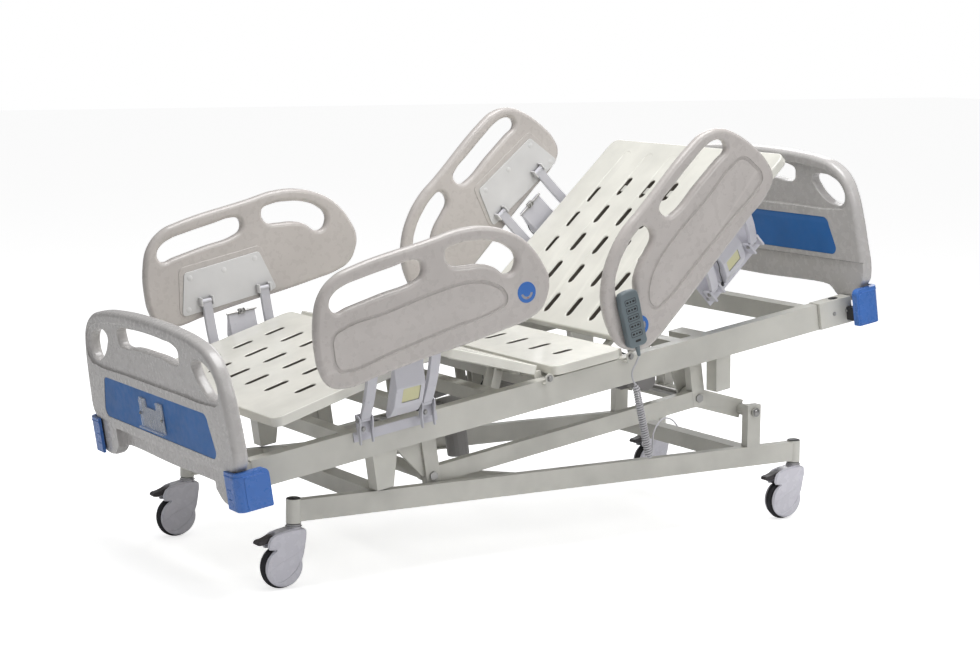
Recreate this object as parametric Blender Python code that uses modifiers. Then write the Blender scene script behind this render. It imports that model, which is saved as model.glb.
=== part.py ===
"""Adjustable hospital bed: lifting base, profiling deck, fold-down side rails and casters.

Bed axes: u runs from the foot end of the frame to the head, v across, h square to the frame.
World axes: +X towards the head, -Y the near side, +Z up.  All sizes are in metres.
"""
import math

import bmesh
import bpy
from mathutils import Matrix, Vector

# ---------------------------------------------------------------- driving dimensions
GAP = 0.0003                 # clearance between pieces that touch
TILT = math.radians(8.9)     # head-up slope of the bed frame as it stands
FRAME_FOOT_X = -0.150        # foot end of the frame's underside, from the foot casters
FRAME_FOOT_Z = 0.300

# base
WHEELBASE = 1.7505
RAIL_V = 0.356               # middle of the base rails and of the casters
BASE_RAIL_W = 0.030
BASE_RAIL_Z = (0.183, 0.243)
CASTER_TUBE_R = 0.021
CASTER_TUBE_Z = (0.179, 0.246)
STEM_R = 0.0117
POST_X = 1.580               # lift crank's hinge on the base posts
POST_Z = 0.352
POST_W = 0.050
GUIDE_X = (0.62, 0.95)       # channel that the foot rollers run in
GUIDE_Z = (0.186, 0.229)
GUIDE_WALL = 0.003
GUIDE_V = 0.313              # inner edge of the channel

# casters
WHEEL_R = 0.0625
WHEEL_HALF_W = 0.012
TRAIL = 0.038
CASTER_SEG = 12
PEDAL_PIVOT = (-0.066, 0.142)

# frame
FRAME_LEN = 1.975
FRAME_V = (0.389, 0.429)
FRAME_H = 0.080
SOCKET_V = (0.3895, 0.440)   # blocks at the head end that take infusion poles
LEG_V = (0.306, 0.336)
CRANK_V = (0.272, 0.303)
HANGER_V = (0.258, 0.268)
HEAD_PIVOT_U = 1.539
FOOT_PIVOT_U = 0.590
PIVOT_H = -0.134
LEG_W = 0.045
SHAFT_R = 0.0110
SHAFT_BORE = 0.0115
STOP_V = (0.345, 0.395)
STOP_LOW_H = -0.111

# lift cranks
CRANK_TALL = 0.058
CRANK_TUBE_R = 0.025
HEAD_LEVER = 0.120
FOOT_CRANK_LEN = 0.340
FOOT_ROLLER_Z = 0.2075
ROLLER_R = 0.010
FOOT_LEVER = 0.110

# deck
HINGE_H = 0.087
BACK_HINGE_U = 1.227
THIGH_HINGE_U = 0.942
THIGH_LEN = 0.370
LEG_LEN = 0.527
BACK_LEN = 0.803
BACK_ANGLE = math.radians(35.0)
THIGH_ANGLE = math.radians(22.8)
KNEE_BEND = math.radians(31.5)
DECK_HALF_W = 0.450
BOARD_LOW = 0.001            # board underside above its hinge line
BOARD_THICK = 0.028
BOARD_SKIN = 0.006
BOARD_RIM = 0.008
HINGE_BACKSET = 0.035
SLOT_LEN = 0.077
SLOT_W = 0.025
SLOT_PITCH = 0.1233          # along the bed, inner columns
OUTER_SLOT_LEN = 0.066
OUTER_PITCH = 0.1115
INNER_COLUMNS = (-0.187, -0.0625, 0.0625, 0.187)
OUTER_COLUMNS = (-0.311, 0.311)

# end boards
BOARD_T = 0.045
BOARD_BEVEL = 0.011
FOOTBOARD_U = -0.055
HEADBOARD_U = 2.105
HEADBOARD_RISE = 0.120
HEADBOARD_SQUASH = 0.95       # the headboard is a little lower than the footboard
INSET_T = 0.003

# bumpers
BUMPER_V = 0.510
BUMPER_R = 0.025              # plan radius of the corner
BUMPER_T = 0.022
BUMPER_FACE_T = 0.0092
BUMPER_INNER_V = 0.440

# side rails
ARM_LEN = 0.2233
ARM_PIVOT_V = 0.462
ARM_SPACING = 0.196
NEAR_LEAN = math.radians(27.9)
FAR_LEAN = math.radians(6.45)
FOOT_RAIL_LEN = 0.715
RAIL_TALL = 0.347
RAIL_T = 0.032
RAIL_OFFSET = 0.031          # panel's middle outboard of the top pivots
# each end's rails: middle of the panel and of the arms along the section, height of the arms'
# lower pivots, way the round end points, length, panel's lower edge below the top pivots, and
# turn of the panel in its own plane
RAILS = {"foot": (0.520, 0.433, 0.118, 1, FOOT_RAIL_LEN, 0.070, 0.0),
         "head": (0.290, 0.4345, -0.0725, -1, 0.700, 0.089, math.radians(-8.0))}

# actuators: lane across the bed, rear pin in bed axes
HEAD_LANE = 0.100
FOOT_LANE = 0.0
BACK_LANE = 0.210
KNEE_LANE = -0.160
HEAD_REAR = (0.986, -0.050)
FOOT_REAR = (0.986, -0.060)
BACK_REAR = (0.800, -0.060)
KNEE_REAR = (1.458, -0.050)
BACK_LEVER_LEN = 0.140
KNEE_LEVER_LEN = 0.130
CUP_R = 0.034

# handset, hung on the near head rail
HANDSET_SIZE = (0.064, 0.024, 0.165)
HANDSET_X = 0.932
HANDSET_Z = 0.716
HANDSET_LEAN = math.radians(-10.0)
COIL_R = 0.0095
CABLE_DROP = ((0, 0, 0), (-0.012, 0, -0.045), (0.008, 0, -0.095), (0.040, 0, -0.285),
              (0.058, 0.004, -0.225), (0.098, 0.010, -0.185), (0.150, 0.016, -0.215))

# ---------------------------------------------------------------- collections
PARTS = None                 # the finished pieces
WORKSHOP = None              # pieces still being made

# ---------------------------------------------------------------- materials
COLOURS = {
    "powder_coat": ((0.80, 0.79, 0.72, 1), 0.35, 0.0),
    "deck_plastic": ((0.85, 0.84, 0.77, 1), 0.25, 0.0),
    "rail_plastic": ((0.74, 0.70, 0.67, 1), 0.35, 0.0),
    "board_plastic": ((0.68, 0.67, 0.66, 1), 0.35, 0.0),
    "blue_panel": ((0.06, 0.20, 0.42, 1), 0.25, 0.0),
    "blue_bumper": ((0.10, 0.26, 0.62, 1), 0.40, 0.0),
    "caster_plastic": ((0.62, 0.60, 0.65, 1), 0.35, 0.0),
    "tyre_rubber": ((0.03, 0.03, 0.04, 1), 0.60, 0.0),
    "pedal_plastic": ((0.10, 0.09, 0.10, 1), 0.45, 0.0),
    "lever_grey": ((0.66, 0.65, 0.69, 1), 0.35, 0.2),
    "actuator_grey": ((0.45, 0.44, 0.44, 1), 0.45, 0.0),
    "zinc": ((0.70, 0.70, 0.70, 1), 0.30, 1.0),
    "clear_plastic": ((0.85, 0.88, 0.92, 1), 0.08, 0.0),
    "handset_plastic": ((0.34, 0.42, 0.46, 1), 0.40, 0.0),
    "cable_grey": ((0.62, 0.61, 0.63, 1), 0.45, 0.0),
}


def material(name):
    """The Principled material of one finish, made once."""
    found = bpy.data.materials.get(name)
    if found:
        return found
    colour, roughness, metallic = COLOURS[name]
    made = bpy.data.materials.new(name)
    made.use_nodes = True
    shader = made.node_tree.nodes["Principled BSDF"]
    shader.inputs["Base Color"].default_value = colour
    shader.inputs["Roughness"].default_value = roughness
    shader.inputs["Metallic"].default_value = metallic
    return made


# ---------------------------------------------------------------- modelling helpers
def clear_scene():
    """Remove whatever the file opened with."""
    for old in list(bpy.data.objects):
        bpy.data.objects.remove(old, do_unlink=True)


def collection(name):
    """A new collection in the scene."""
    made = bpy.data.collections.new(name)
    bpy.context.scene.collection.children.link(made)
    return made


def from_bmesh(bm):
    """A loose object in the workshop collection from a bmesh."""
    mesh = bpy.data.meshes.new("piece")
    bm.to_mesh(mesh)
    bm.free()
    made = bpy.data.objects.new("piece", mesh)
    WORKSHOP.objects.link(made)
    return made


def box(x, y, z, bevel=0.0, bevel_axis=None):
    """A box between the given (low, high) pairs, its edges bevelled if asked."""
    bm = bmesh.new()
    bmesh.ops.create_cube(bm, size=1.0)
    size = Vector((x[1] - x[0], y[1] - y[0], z[1] - z[0]))
    middle = Vector((x[0] + x[1], y[0] + y[1], z[0] + z[1])) / 2
    bmesh.ops.transform(bm, matrix=Matrix.Translation(middle) @ Matrix.Diagonal((*size, 1.0)),
                        verts=bm.verts)
    if bevel:
        edges = [e for e in bm.edges if bevel_axis is None
                 or abs((e.verts[0].co - e.verts[1].co).normalized()[bevel_axis]) > 0.9]
        bmesh.ops.bevel(bm, geom=edges, offset=bevel, segments=2, profile=0.5, affect="EDGES")
    return from_bmesh(bm)


def rod(start, end, radius, segments=16, end_radius=None):
    """A round bar, or a cone, from one point to another."""
    start = Vector(start)
    end = Vector(end)
    along = end - start
    bm = bmesh.new()
    bmesh.ops.create_cone(bm, cap_ends=True, segments=segments, radius1=radius,
                          radius2=radius if end_radius is None else end_radius,
                          depth=along.length)
    turn = Vector((0, 0, 1)).rotation_difference(along).to_matrix().to_4x4()
    bmesh.ops.transform(bm, matrix=Matrix.Translation((start + end) / 2) @ turn, verts=bm.verts)
    return from_bmesh(bm)


def bar(start, end, tall, y):
    """A flat bar in the XZ plane from one point to another, between the two y values."""
    dx = end[0] - start[0]
    dz = end[1] - start[1]
    length = math.hypot(dx, dz)
    made = box((0, length), y, (-tall / 2, tall / 2))
    made.data.transform(Matrix.Translation((start[0], 0, start[1]))
                        @ Matrix.Rotation(-math.atan2(dz, dx), 4, "Y"))
    return made


def sheet(outlines, thickness, frame, bevel=0.0, smooth=False, resolution=3):
    """A plate from closed outlines, holes included, centred on the frame's XY plane."""
    curve = bpy.data.curves.new("outline", "CURVE")
    curve.dimensions = "2D"
    curve.fill_mode = "BOTH"
    curve.extrude = thickness / 2 - bevel
    curve.bevel_depth = bevel
    curve.bevel_resolution = 0
    curve.resolution_u = resolution
    for points in outlines:
        if smooth:
            spline = curve.splines.new("BEZIER")
            spline.bezier_points.add(len(points) - 1)
            for knot, point in zip(spline.bezier_points, points):
                knot.co = (point[0], point[1], 0)
                knot.handle_left_type = "AUTO"
                knot.handle_right_type = "AUTO"
        else:
            spline = curve.splines.new("POLY")
            spline.points.add(len(points) - 1)
            for knot, point in zip(spline.points, points):
                knot.co = (point[0], point[1], 0, 1)
        spline.use_cyclic_u = True
    return mesh_from_curve(curve, frame)


def mesh_from_curve(curve, frame):
    """The closed mesh of a curve, in place, with its caps welded."""
    holder = bpy.data.objects.new("curve", curve)
    WORKSHOP.objects.link(holder)
    evaluated = holder.evaluated_get(bpy.context.evaluated_depsgraph_get())
    mesh = bpy.data.meshes.new_from_object(evaluated)
    bpy.data.objects.remove(holder)
    mesh.materials.clear()
    bm = bmesh.new()
    bm.from_mesh(mesh)
    bmesh.ops.remove_doubles(bm, verts=bm.verts, dist=0.00001)
    bmesh.ops.recalc_face_normals(bm, faces=bm.faces)
    bmesh.ops.transform(bm, matrix=frame, verts=bm.verts)
    return from_bmesh(bm)


def combined(body, others, operation):
    """The body after one exact Boolean with all the other objects, which are used up."""
    if not others:
        return body
    tools = bpy.data.collections.new("tools")
    bpy.context.scene.collection.children.link(tools)
    for other in others:
        WORKSHOP.objects.unlink(other)
        tools.objects.link(other)
    change = body.modifiers.new("change", "BOOLEAN")
    change.operation = operation
    change.solver = "EXACT"
    change.operand_type = "COLLECTION"
    change.collection = tools
    evaluated = body.evaluated_get(bpy.context.evaluated_depsgraph_get())
    mesh = bpy.data.meshes.new_from_object(evaluated)
    for used in [body] + others:
        bpy.data.objects.remove(used)
    bpy.data.collections.remove(tools)
    made = bpy.data.objects.new("piece", mesh)
    WORKSHOP.objects.link(made)
    return made


def joined(pieces, cuts=()):
    """The pieces welded into one body, with the cutters taken away."""
    body = combined(pieces[0], list(pieces[1:]), "UNION")
    return combined(body, list(cuts), "DIFFERENCE")


def place(name, body, finish, parent, location=(0, 0, 0)):
    """Give a finished body its name, material and place, with the location as its pivot."""
    mesh = body.data
    mesh.name = name
    mesh.transform(Matrix.Translation(Vector(location)).inverted())
    mesh.materials.clear()
    mesh.materials.append(material(finish))
    mesh.shade_smooth()
    mesh.set_sharp_from_angle(angle=math.radians(35))
    body.name = name
    WORKSHOP.objects.unlink(body)
    PARTS.objects.link(body)
    body.parent = parent
    body.location = location
    return body


def axes(name, parent, location, angle=0.0, about="Y"):
    """An empty that carries pieces built in its own axes."""
    made = bpy.data.objects.new(name, None)
    PARTS.objects.link(made)
    made.parent = parent
    made.location = location
    made.rotation_euler = Matrix.Rotation(angle, 3, about).to_euler()
    bpy.context.view_layer.update()
    return made


def both_sides(v):
    """The (low, high) pair of v on the near side and on the far side."""
    return ((-v[1], -v[0]), (v[0], v[1]))


def arc(centre, radius, first, last, steps):
    """Points along an arc, angles in degrees."""
    return [(centre[0] + radius * math.cos(math.radians(first + (last - first) * i / steps)),
             centre[1] + radius * math.sin(math.radians(first + (last - first) * i / steps)))
            for i in range(steps + 1)]


def capsule(centre, length, width, steps=3):
    """The outline of a round-ended slot along the first axis."""
    reach = length / 2 - width / 2
    return (arc((centre[0] + reach, centre[1]), width / 2, -90, 90, steps)
            + arc((centre[0] - reach, centre[1]), width / 2, 90, 270, steps))


def bed_to_world(u, h):
    """World x and z of a point of the bed frame, before the origin is moved."""
    return (FRAME_FOOT_X + u * math.cos(TILT) - h * math.sin(TILT),
            FRAME_FOOT_Z + u * math.sin(TILT) + h * math.cos(TILT))


# ---------------------------------------------------------------- base and casters
def build_base(parent):
    """Rails, cross tubes, caster tubes, posts and roller guides, welded together."""
    pieces = []
    cuts = []
    half = BASE_RAIL_W / 2
    for side in (-1, 1):
        v = side * RAIL_V
        pieces.append(box((0, WHEELBASE), (v - half, v + half), BASE_RAIL_Z))
        post = (POST_X - POST_W / 2, POST_X + POST_W / 2)
        pieces.append(box(post, (v - half + 0.0004, v + half - 0.0004), (0.20, POST_Z + 0.022)))
        cuts.append(rod((POST_X, v - 0.03, POST_Z), (POST_X, v + 0.03, POST_Z), 0.0085, 12))
        guide = sorted((side * GUIDE_V, side * (RAIL_V - half + 0.001)))
        for low in (GUIDE_Z[0], GUIDE_Z[1] - GUIDE_WALL):
            pieces.append(box(GUIDE_X, guide, (low, low + GUIDE_WALL)))
        for x in (0, WHEELBASE):
            pieces.append(rod((x, v, CASTER_TUBE_Z[0]), (x, v, CASTER_TUBE_Z[1]),
                              CASTER_TUBE_R, 20))
            cuts.append(rod((x, v, 0.17), (x, v, 0.234), STEM_R + 0.0005, 12))
    inner = RAIL_V - half + 0.005
    pieces.append(box((0.245, 0.305), (-inner, inner), (0.196, 0.2425)))
    pieces.append(box((1.545, 1.600), (-inner, inner), (0.190, 0.238)))
    return place("base_frame", joined(pieces, cuts), "powder_coat", parent)


def caster_side(side):
    """One cheek of a caster housing: a disc over the wheel, drawn up to the fork crown."""
    outline = (arc((-TRAIL, WHEEL_R), 0.052, 150, 360, 7) + [(0.022, 0.105), (0.027, 0.150)]
               + [(-0.056, 0.150), (-0.062, 0.124), (-0.066, 0.118)])
    frame = Matrix.Translation((0, side * 0.018, 0)) @ Matrix.Rotation(math.pi / 2, 4, "X")
    return sheet([outline], 0.007, frame)


def build_caster(end, side, x, v, parent):
    """Swivelling housing, wheel and brake pedal of one caster."""
    swivel = axes("caster_axis_%s_%s" % (end, side), parent, (x, v, 0))
    crown = box((-0.057, 0.027), (-0.0216, 0.0216), (0.128, 0.160), bevel=0.008, bevel_axis=2)
    pieces = [crown, caster_side(-1), caster_side(1),
              rod((0, 0, 0.155), (0, 0, CASTER_TUBE_Z[0] - 0.003), 0.020, CASTER_SEG),
              rod((0, 0, 0.170), (0, 0, 0.233), STEM_R, 12),
              rod((-TRAIL, -0.018, WHEEL_R), (-TRAIL, 0.018, WHEEL_R), 0.005, 8)]
    name = "%s_%s_caster" % (end, side)
    place(name + "_housing", joined(pieces), "caster_plastic", swivel)
    profile_wheel(name + "_wheel", swivel)
    px, pz = PEDAL_PIVOT
    pedal = joined([rod((px, -0.017, pz), (px, 0.017, pz), 0.007, 10),
                    sheet([[(px + 0.002, pz + 0.006), (px + 0.002, pz - 0.004),
                            (px - 0.022, pz - 0.010), (px - 0.046, pz - 0.012),
                            (px - 0.050, pz - 0.008), (px - 0.030, pz + 0.001)]],
                          0.030, Matrix.Rotation(math.pi / 2, 4, "X"))])
    place(name + "_pedal", pedal, "pedal_plastic", swivel, (px, 0, pz))


def profile_wheel(name, swivel):
    """A wheel with a rounded tread, turned on its axle line by a Screw modifier."""
    half = WHEEL_HALF_W
    section = [(0.0055, half), (0.054, half), (0.060, half * 0.65), (WHEEL_R, 0.0),
               (0.060, -half * 0.65), (0.054, -half), (0.0055, -half)]
    bm = bmesh.new()
    knots = [bm.verts.new((r, 0, z)) for r, z in section]
    for first, second in zip(knots, knots[1:] + knots[:1]):
        bm.edges.new((first, second))
    wheel = from_bmesh(bm)
    turn = wheel.modifiers.new("turn", "SCREW")
    turn.steps = 20
    turn.render_steps = 20
    turn.use_merge_vertices = True
    turn.merge_threshold = 0.00001
    evaluated = wheel.evaluated_get(bpy.context.evaluated_depsgraph_get())
    mesh = bpy.data.meshes.new_from_object(evaluated)
    bpy.data.objects.remove(wheel)
    mesh.transform(Matrix.Translation((-TRAIL, 0, WHEEL_R)) @ Matrix.Rotation(math.pi / 2, 4, "X"))
    made = bpy.data.objects.new(name, mesh)
    WORKSHOP.objects.link(made)
    place(name, made, "tyre_rubber", swivel, (-TRAIL, 0, WHEEL_R))


# ---------------------------------------------------------------- lifting gear
def fork(centre, y, reach, width, plate_t=0.006, spread=0.018):
    """Two lever plates either side of y, from a shaft centre to a far point, in the XZ plane."""
    plates = []
    for side in (-1, 1):
        middle = y + side * (spread + plate_t / 2)
        plates.append(bar(centre, reach, width, (middle - plate_t / 2, middle + plate_t / 2)))
    return plates


def build_head_crank(parent):
    """Crank pair that raises the head end, hinged on the base posts."""
    hx, hz = bed_to_world(HEAD_PIVOT_U, PIVOT_H)
    pieces = [rod((POST_X, -CRANK_V[0] - 0.01, POST_Z), (POST_X, CRANK_V[0] + 0.01, POST_Z),
                  CRANK_TUBE_R, 20)]
    cuts = []
    for low, high in both_sides(CRANK_V):
        side = 1 if low > 0 else -1
        pieces.append(bar((hx, hz), (POST_X, POST_Z), CRANK_TALL, (low, high)))
        pieces.append(rod((hx, low, hz), (hx, high, hz), CRANK_TALL / 2 - 0.0003, 16))
        pieces.append(rod((POST_X, side * CRANK_V[0], POST_Z),
                          (POST_X, side * (RAIL_V - 0.0155), POST_Z), 0.018, 16))
        pieces.append(rod((POST_X, side * CRANK_V[0], POST_Z),
                          (POST_X, side * 0.3785, POST_Z), 0.008, 12))
        pieces.append(rod((POST_X, side * 0.3714, POST_Z),
                          (POST_X, side * 0.379, POST_Z), 0.014, 6))
        cuts.append(rod((hx, low - 0.01, hz), (hx, high + 0.01, hz), SHAFT_BORE, 12))
    pieces += fork((POST_X, POST_Z), HEAD_LANE, (POST_X, POST_Z + HEAD_LEVER), 0.034)
    place("head_crank", joined(pieces, cuts), "powder_coat", parent, (POST_X, 0, POST_Z))


def build_foot_crank(parent):
    """Crank pair that raises the foot end on rollers running in the base's guides."""
    fx, fz = bed_to_world(FOOT_PIVOT_U, PIVOT_H)
    drop = math.asin((fz - FOOT_ROLLER_Z) / FOOT_CRANK_LEN)
    rx = fx + FOOT_CRANK_LEN * math.cos(drop)
    pieces = [rod((fx, -CRANK_V[0] - 0.01, fz), (fx, CRANK_V[0] + 0.01, fz), 0.020, 20)]
    for low, high in both_sides(CRANK_V):
        side = 1 if low > 0 else -1
        pieces.append(bar((fx, fz), (rx, FOOT_ROLLER_Z), 0.032, (low + 0.004, high - 0.004)))
        pieces.append(rod((fx, low, fz), (fx, high, fz), 0.023, 16))
        pieces.append(rod((rx, side * 0.28, FOOT_ROLLER_Z), (rx, side * 0.338, FOOT_ROLLER_Z),
                          ROLLER_R, 14))
    tip = bed_to_world(FOOT_PIVOT_U, PIVOT_H + FOOT_LEVER)
    pieces += fork((fx, fz), FOOT_LANE, tip, 0.032)
    bore = rod((fx, -0.34, fz), (fx, 0.34, fz), SHAFT_BORE, 12)
    place("foot_crank", joined(pieces, [bore]), "powder_coat", parent, (fx, 0, fz))


def build_pivot_shaft(name, u, parent):
    """A full-width pivot shaft with a bolt head at each end."""
    x, z = bed_to_world(u, PIVOT_H)
    pieces = [rod((x, -0.340, z), (x, 0.340, z), SHAFT_R, 12)]
    for side in (-1, 1):
        pieces.append(rod((x, side * (LEG_V[1] + GAP), z), (x, side * 0.3408, z), 0.0135, 6))
    place(name, joined(pieces), "zinc", parent, (x, 0, z))


def build_actuator(name, lane, rear, tip, parent, cup_at, reach, cup_way):
    """Electric linear actuator in bed axes: a motor body on its rear pin and a sliding rod."""
    pivot = Vector((rear[0], lane, rear[1]))
    along = (Vector((tip[0], lane, tip[1])) - pivot).normalized()
    tube_end = pivot + along * reach
    cup = pivot + along * cup_at
    motor = joined([rod(pivot - along * 0.012, tube_end, 0.019, 12),
                    box((cup.x - 0.038, cup.x + 0.038), (lane - 0.030, lane + 0.030),
                        (cup.z - 0.038, cup.z + 0.026), bevel=0.008, bevel_axis=1),
                    rod(cup, cup + Vector(cup_way), CUP_R, 16)],
                   [rod(tube_end - along * (reach - 0.09), tube_end + along * 0.01, 0.0125, 12)])
    place(name + "_motor", motor, "actuator_grey", parent, pivot)
    start = tube_end - along * 0.100
    end = Vector((tip[0], lane, tip[1]))
    if (start - pivot).length < 0.10:
        start = pivot + along * 0.10
    shaft = joined([rod(start, end, 0.0115, 12),
                    rod(end - Vector((0, 0.014, 0)), end + Vector((0, 0.014, 0)), 0.0135, 12)])
    place(name + "_rod", shaft, "zinc", parent, end)


# ---------------------------------------------------------------- bed frame
def build_bed_frame(parent):
    """Upper frame in bed axes: side rails, cross members, pivot legs, stops and sockets."""
    pieces = [box((0, FRAME_LEN), v, (0, FRAME_H)) for v in both_sides(FRAME_V)]
    inner = FRAME_V[0] + 0.004
    pieces.append(box((-0.032, 0.010), (-FRAME_V[1] + 0.001, FRAME_V[1] - 0.001), (0.003, 0.075)))
    pieces.append(box((1.930, 1.965), (-inner, inner), (0.010, 0.070)))
    for u in (0.300, 0.572, 0.782, 0.968, 1.166, 1.440):
        low = 0.042 if u > 1.4 else 0.030
        pieces.append(box((u, u + 0.036), (-inner, inner), (low, 0.072)))
    cuts = []
    for near, v in enumerate(both_sides(LEG_V)):
        side = -1 if near == 0 else 1
        for u in (FOOT_PIVOT_U, HEAD_PIVOT_U):
            pieces.append(box((u - LEG_W / 2, u + LEG_W / 2), v, (PIVOT_H - 0.025, 0.050)))
            across = sorted((side * 0.250, side * (FRAME_V[0] + 0.004)))
            pieces.append(box((u - 0.026, u + 0.026), across, (0.022, 0.074)))
        hanger = both_sides(HANGER_V)[near]
        frame = (Matrix.Translation((0, (hanger[0] + hanger[1]) / 2, 0))
                 @ Matrix.Rotation(math.pi / 2, 4, "X"))
        outline = ([(HEAD_PIVOT_U - 0.060, 0.040), (HEAD_PIVOT_U - 0.023, PIVOT_H)]
                   + arc((HEAD_PIVOT_U, PIVOT_H), 0.023, 200, 340, 5)
                   + [(HEAD_PIVOT_U + 0.023, PIVOT_H), (HEAD_PIVOT_U + 0.026, 0.040)])
        pieces.append(sheet([outline], hanger[1] - hanger[0], frame))
        slim = (v[0] + 0.0006, v[1] - 0.0006)
        pieces.append(box((FOOT_PIVOT_U - 0.015, HEAD_PIVOT_U + 0.015), slim,
                          (PIVOT_H - 0.0245, PIVOT_H + 0.0255)))
        gusset = [(FOOT_PIVOT_U - 0.115, 0.045), (FOOT_PIVOT_U - 0.115, -0.010),
                  (FOOT_PIVOT_U - 0.030, PIVOT_H + 0.004), (FOOT_PIVOT_U, PIVOT_H + 0.004),
                  (FOOT_PIVOT_U, 0.045)]
        frame = (Matrix.Translation((0, side * (LEG_V[0] + 0.014), 0))
                 @ Matrix.Rotation(math.pi / 2, 4, "X"))
        pieces.append(sheet([gusset], 0.014, frame))
        for u in (FOOT_PIVOT_U, HEAD_PIVOT_U):
            cuts.append(rod((u, side * 0.25, PIVOT_H), (u, side * 0.345, PIVOT_H), SHAFT_BORE, 12))
        pieces += [stop_post(side, (0.378, 0.459), (0.378, 0.430)),
                   stop_post(side, (1.578, 1.632), (1.563, 1.617))]
        socket = sorted((side * SOCKET_V[0], side * SOCKET_V[1]))
        pieces.append(box((FRAME_LEN - 0.02, 2.082), socket, (0.001, 0.0825)))
        cuts.append(rod((2.030, side * 0.415, 0.02), (2.030, side * 0.415, 0.10), 0.011, 12))
    for lane, rear in ((HEAD_LANE, HEAD_REAR), (FOOT_LANE, FOOT_REAR),
                       (BACK_LANE, BACK_REAR), (KNEE_LANE, KNEE_REAR)):
        pieces += bracket_ears(lane, rear)
    for hinge in (THIGH_HINGE_U, BACK_HINGE_U):
        for v in both_sides((0.3815, 0.3920)):
            pieces.append(box((hinge - 0.012, hinge + 0.012), v, (0.060, HINGE_H + 0.013)))
    for u in (0.974, 1.172):
        for v in both_sides((0.280, 0.320)):
            pieces.append(box((u, u + 0.024), v, (0.068, HINGE_H + BOARD_LOW - GAP)))
    place("bed_frame", joined(pieces, cuts), "powder_coat", parent)


def bracket_ears(lane, rear):
    """Two ears under a cross member that hold an actuator's rear pin between them."""
    ears = []
    for side in (-1, 1):
        middle = lane + side * 0.036
        ears.append(box((rear[0] - 0.017, rear[0] + 0.017), (middle - 0.003, middle + 0.003),
                        (rear[1] - 0.016, 0.060)))
    return ears


def stop_post(side, top, bottom):
    """A tapered stop that hangs from a side rail and lands on the base rail."""
    outline = [(top[0], 0.040), (top[0], 0.0), (bottom[0], STOP_LOW_H), (bottom[1], STOP_LOW_H),
               (top[1], 0.0), (top[1], 0.040)]
    middle = side * (STOP_V[0] + STOP_V[1]) / 2
    frame = Matrix.Translation((0, middle, 0)) @ Matrix.Rotation(math.pi / 2, 4, "X")
    return sheet([outline], STOP_V[1] - STOP_V[0], frame)


# ---------------------------------------------------------------- deck
def slot_cutters(inner, outer, z):
    """Round-ended slot cutters: inner and outer columns, each as (first x, count)."""
    cutters = []
    frame = Matrix.Translation((0, 0, z))
    for (first, count), columns, pitch, length in (
            (inner, INNER_COLUMNS, SLOT_PITCH, SLOT_LEN),
            (outer, OUTER_COLUMNS, OUTER_PITCH, OUTER_SLOT_LEN)):
        for i in range(count):
            for v in columns:
                outline = capsule((first + pitch * i, v), length, SLOT_W)
                cutters.append(sheet([outline], 0.060, frame))
    return cutters


def deck_board(name, x, inner, outer, parent, round_corners=0.03):
    """A moulded deck board: a skin with a deep rim, open underneath, and slots."""
    low = BOARD_LOW
    top = BOARD_LOW + BOARD_THICK
    half_w = DECK_HALF_W
    shell = box(x, (-half_w, half_w), (low, top), bevel=round_corners, bevel_axis=2)
    pocket = box((x[0] + BOARD_RIM, x[1] - BOARD_RIM), (-half_w + BOARD_RIM, half_w - BOARD_RIM),
                 (low - 0.01, top - BOARD_SKIN), bevel=round_corners - BOARD_RIM, bevel_axis=2)
    body = joined([shell], [pocket] + slot_cutters(inner, outer, top))
    return place(name, body, "deck_plastic", parent)


def build_deck(bed, back, thigh, leg):
    """The four deck boards and the steel carriers of the back and thigh sections."""
    deck_board("back_panel", (HINGE_BACKSET, BACK_LEN), (0.113, 5), (0.224, 4), back)
    seat = axes("seat_axes", bed, (0, 0, HINGE_H))
    middle = (THIGH_HINGE_U + BACK_HINGE_U) / 2
    deck_board("seat_panel", (THIGH_HINGE_U + 0.022, BACK_HINGE_U - 0.022), (middle, 1),
               (middle, 1), seat)
    deck_board("thigh_panel", (-THIGH_LEN + 0.008, -HINGE_BACKSET), (-0.260, 2), (-0.255, 2),
               thigh)
    deck_board("leg_panel", (-LEG_LEN, -0.008), (-0.3855, 3), (-0.3575, 3), leg)
    build_carrier("back_frame", back, BACK_LANE, 1, BACK_LEVER_LEN, 0.62)
    build_carrier("thigh_frame", thigh, KNEE_LANE, -1, KNEE_LEVER_LEN, 0.26)


def build_carrier(name, parent, lane, way, lever, length):
    """Steel carrier under a deck board, turning on its hinge line with a lever for its rod."""
    low = BOARD_LOW + BOARD_THICK - BOARD_SKIN - GAP
    pieces = [rod((0, -0.380, 0), (0, 0.380, 0), 0.010, 12)]
    inside = HINGE_BACKSET + BOARD_RIM + 0.001
    for v in (-0.300, 0.300):
        runner = sorted((inside * way, length * way))
        pieces.append(box(runner, (v - 0.0125, v + 0.0125), (-0.006, low - 0.0005)))
        arm = sorted((-0.004 * way, (inside + 0.030) * way))
        pieces.append(box(arm, (v - 0.0120, v + 0.0120), (-0.012, BOARD_LOW - 0.0005)))
    for x in (0.052, length - 0.030):
        across = sorted((way * x, way * (x + 0.025)))
        pieces.append(box(across, (-0.305, 0.305), (0.002, low - 0.001)))
    pieces += fork((0, 0), lane, (0, -lever), 0.030)
    place(name, joined(pieces), "powder_coat", parent)


# ---------------------------------------------------------------- end boards and bumpers
def board_outline(skirt, legs, notch):
    """An end board's outer edge in (v, h), narrower below the notch, between the bumpers."""
    half = [(0.000, skirt), (0.330, skirt), (0.350, skirt - 0.010), (0.372, legs + 0.008),
            (0.392, legs), (0.445, legs), (0.468, legs + 0.012), (0.474, notch - 0.010),
            (0.489, notch + 0.012), (0.488, 0.160), (0.482, 0.220), (0.468, 0.296),
            (0.445, 0.347), (0.395, 0.385), (0.330, 0.402), (0.200, 0.416), (0.000, 0.422)]
    return mirrored(half)


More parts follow.
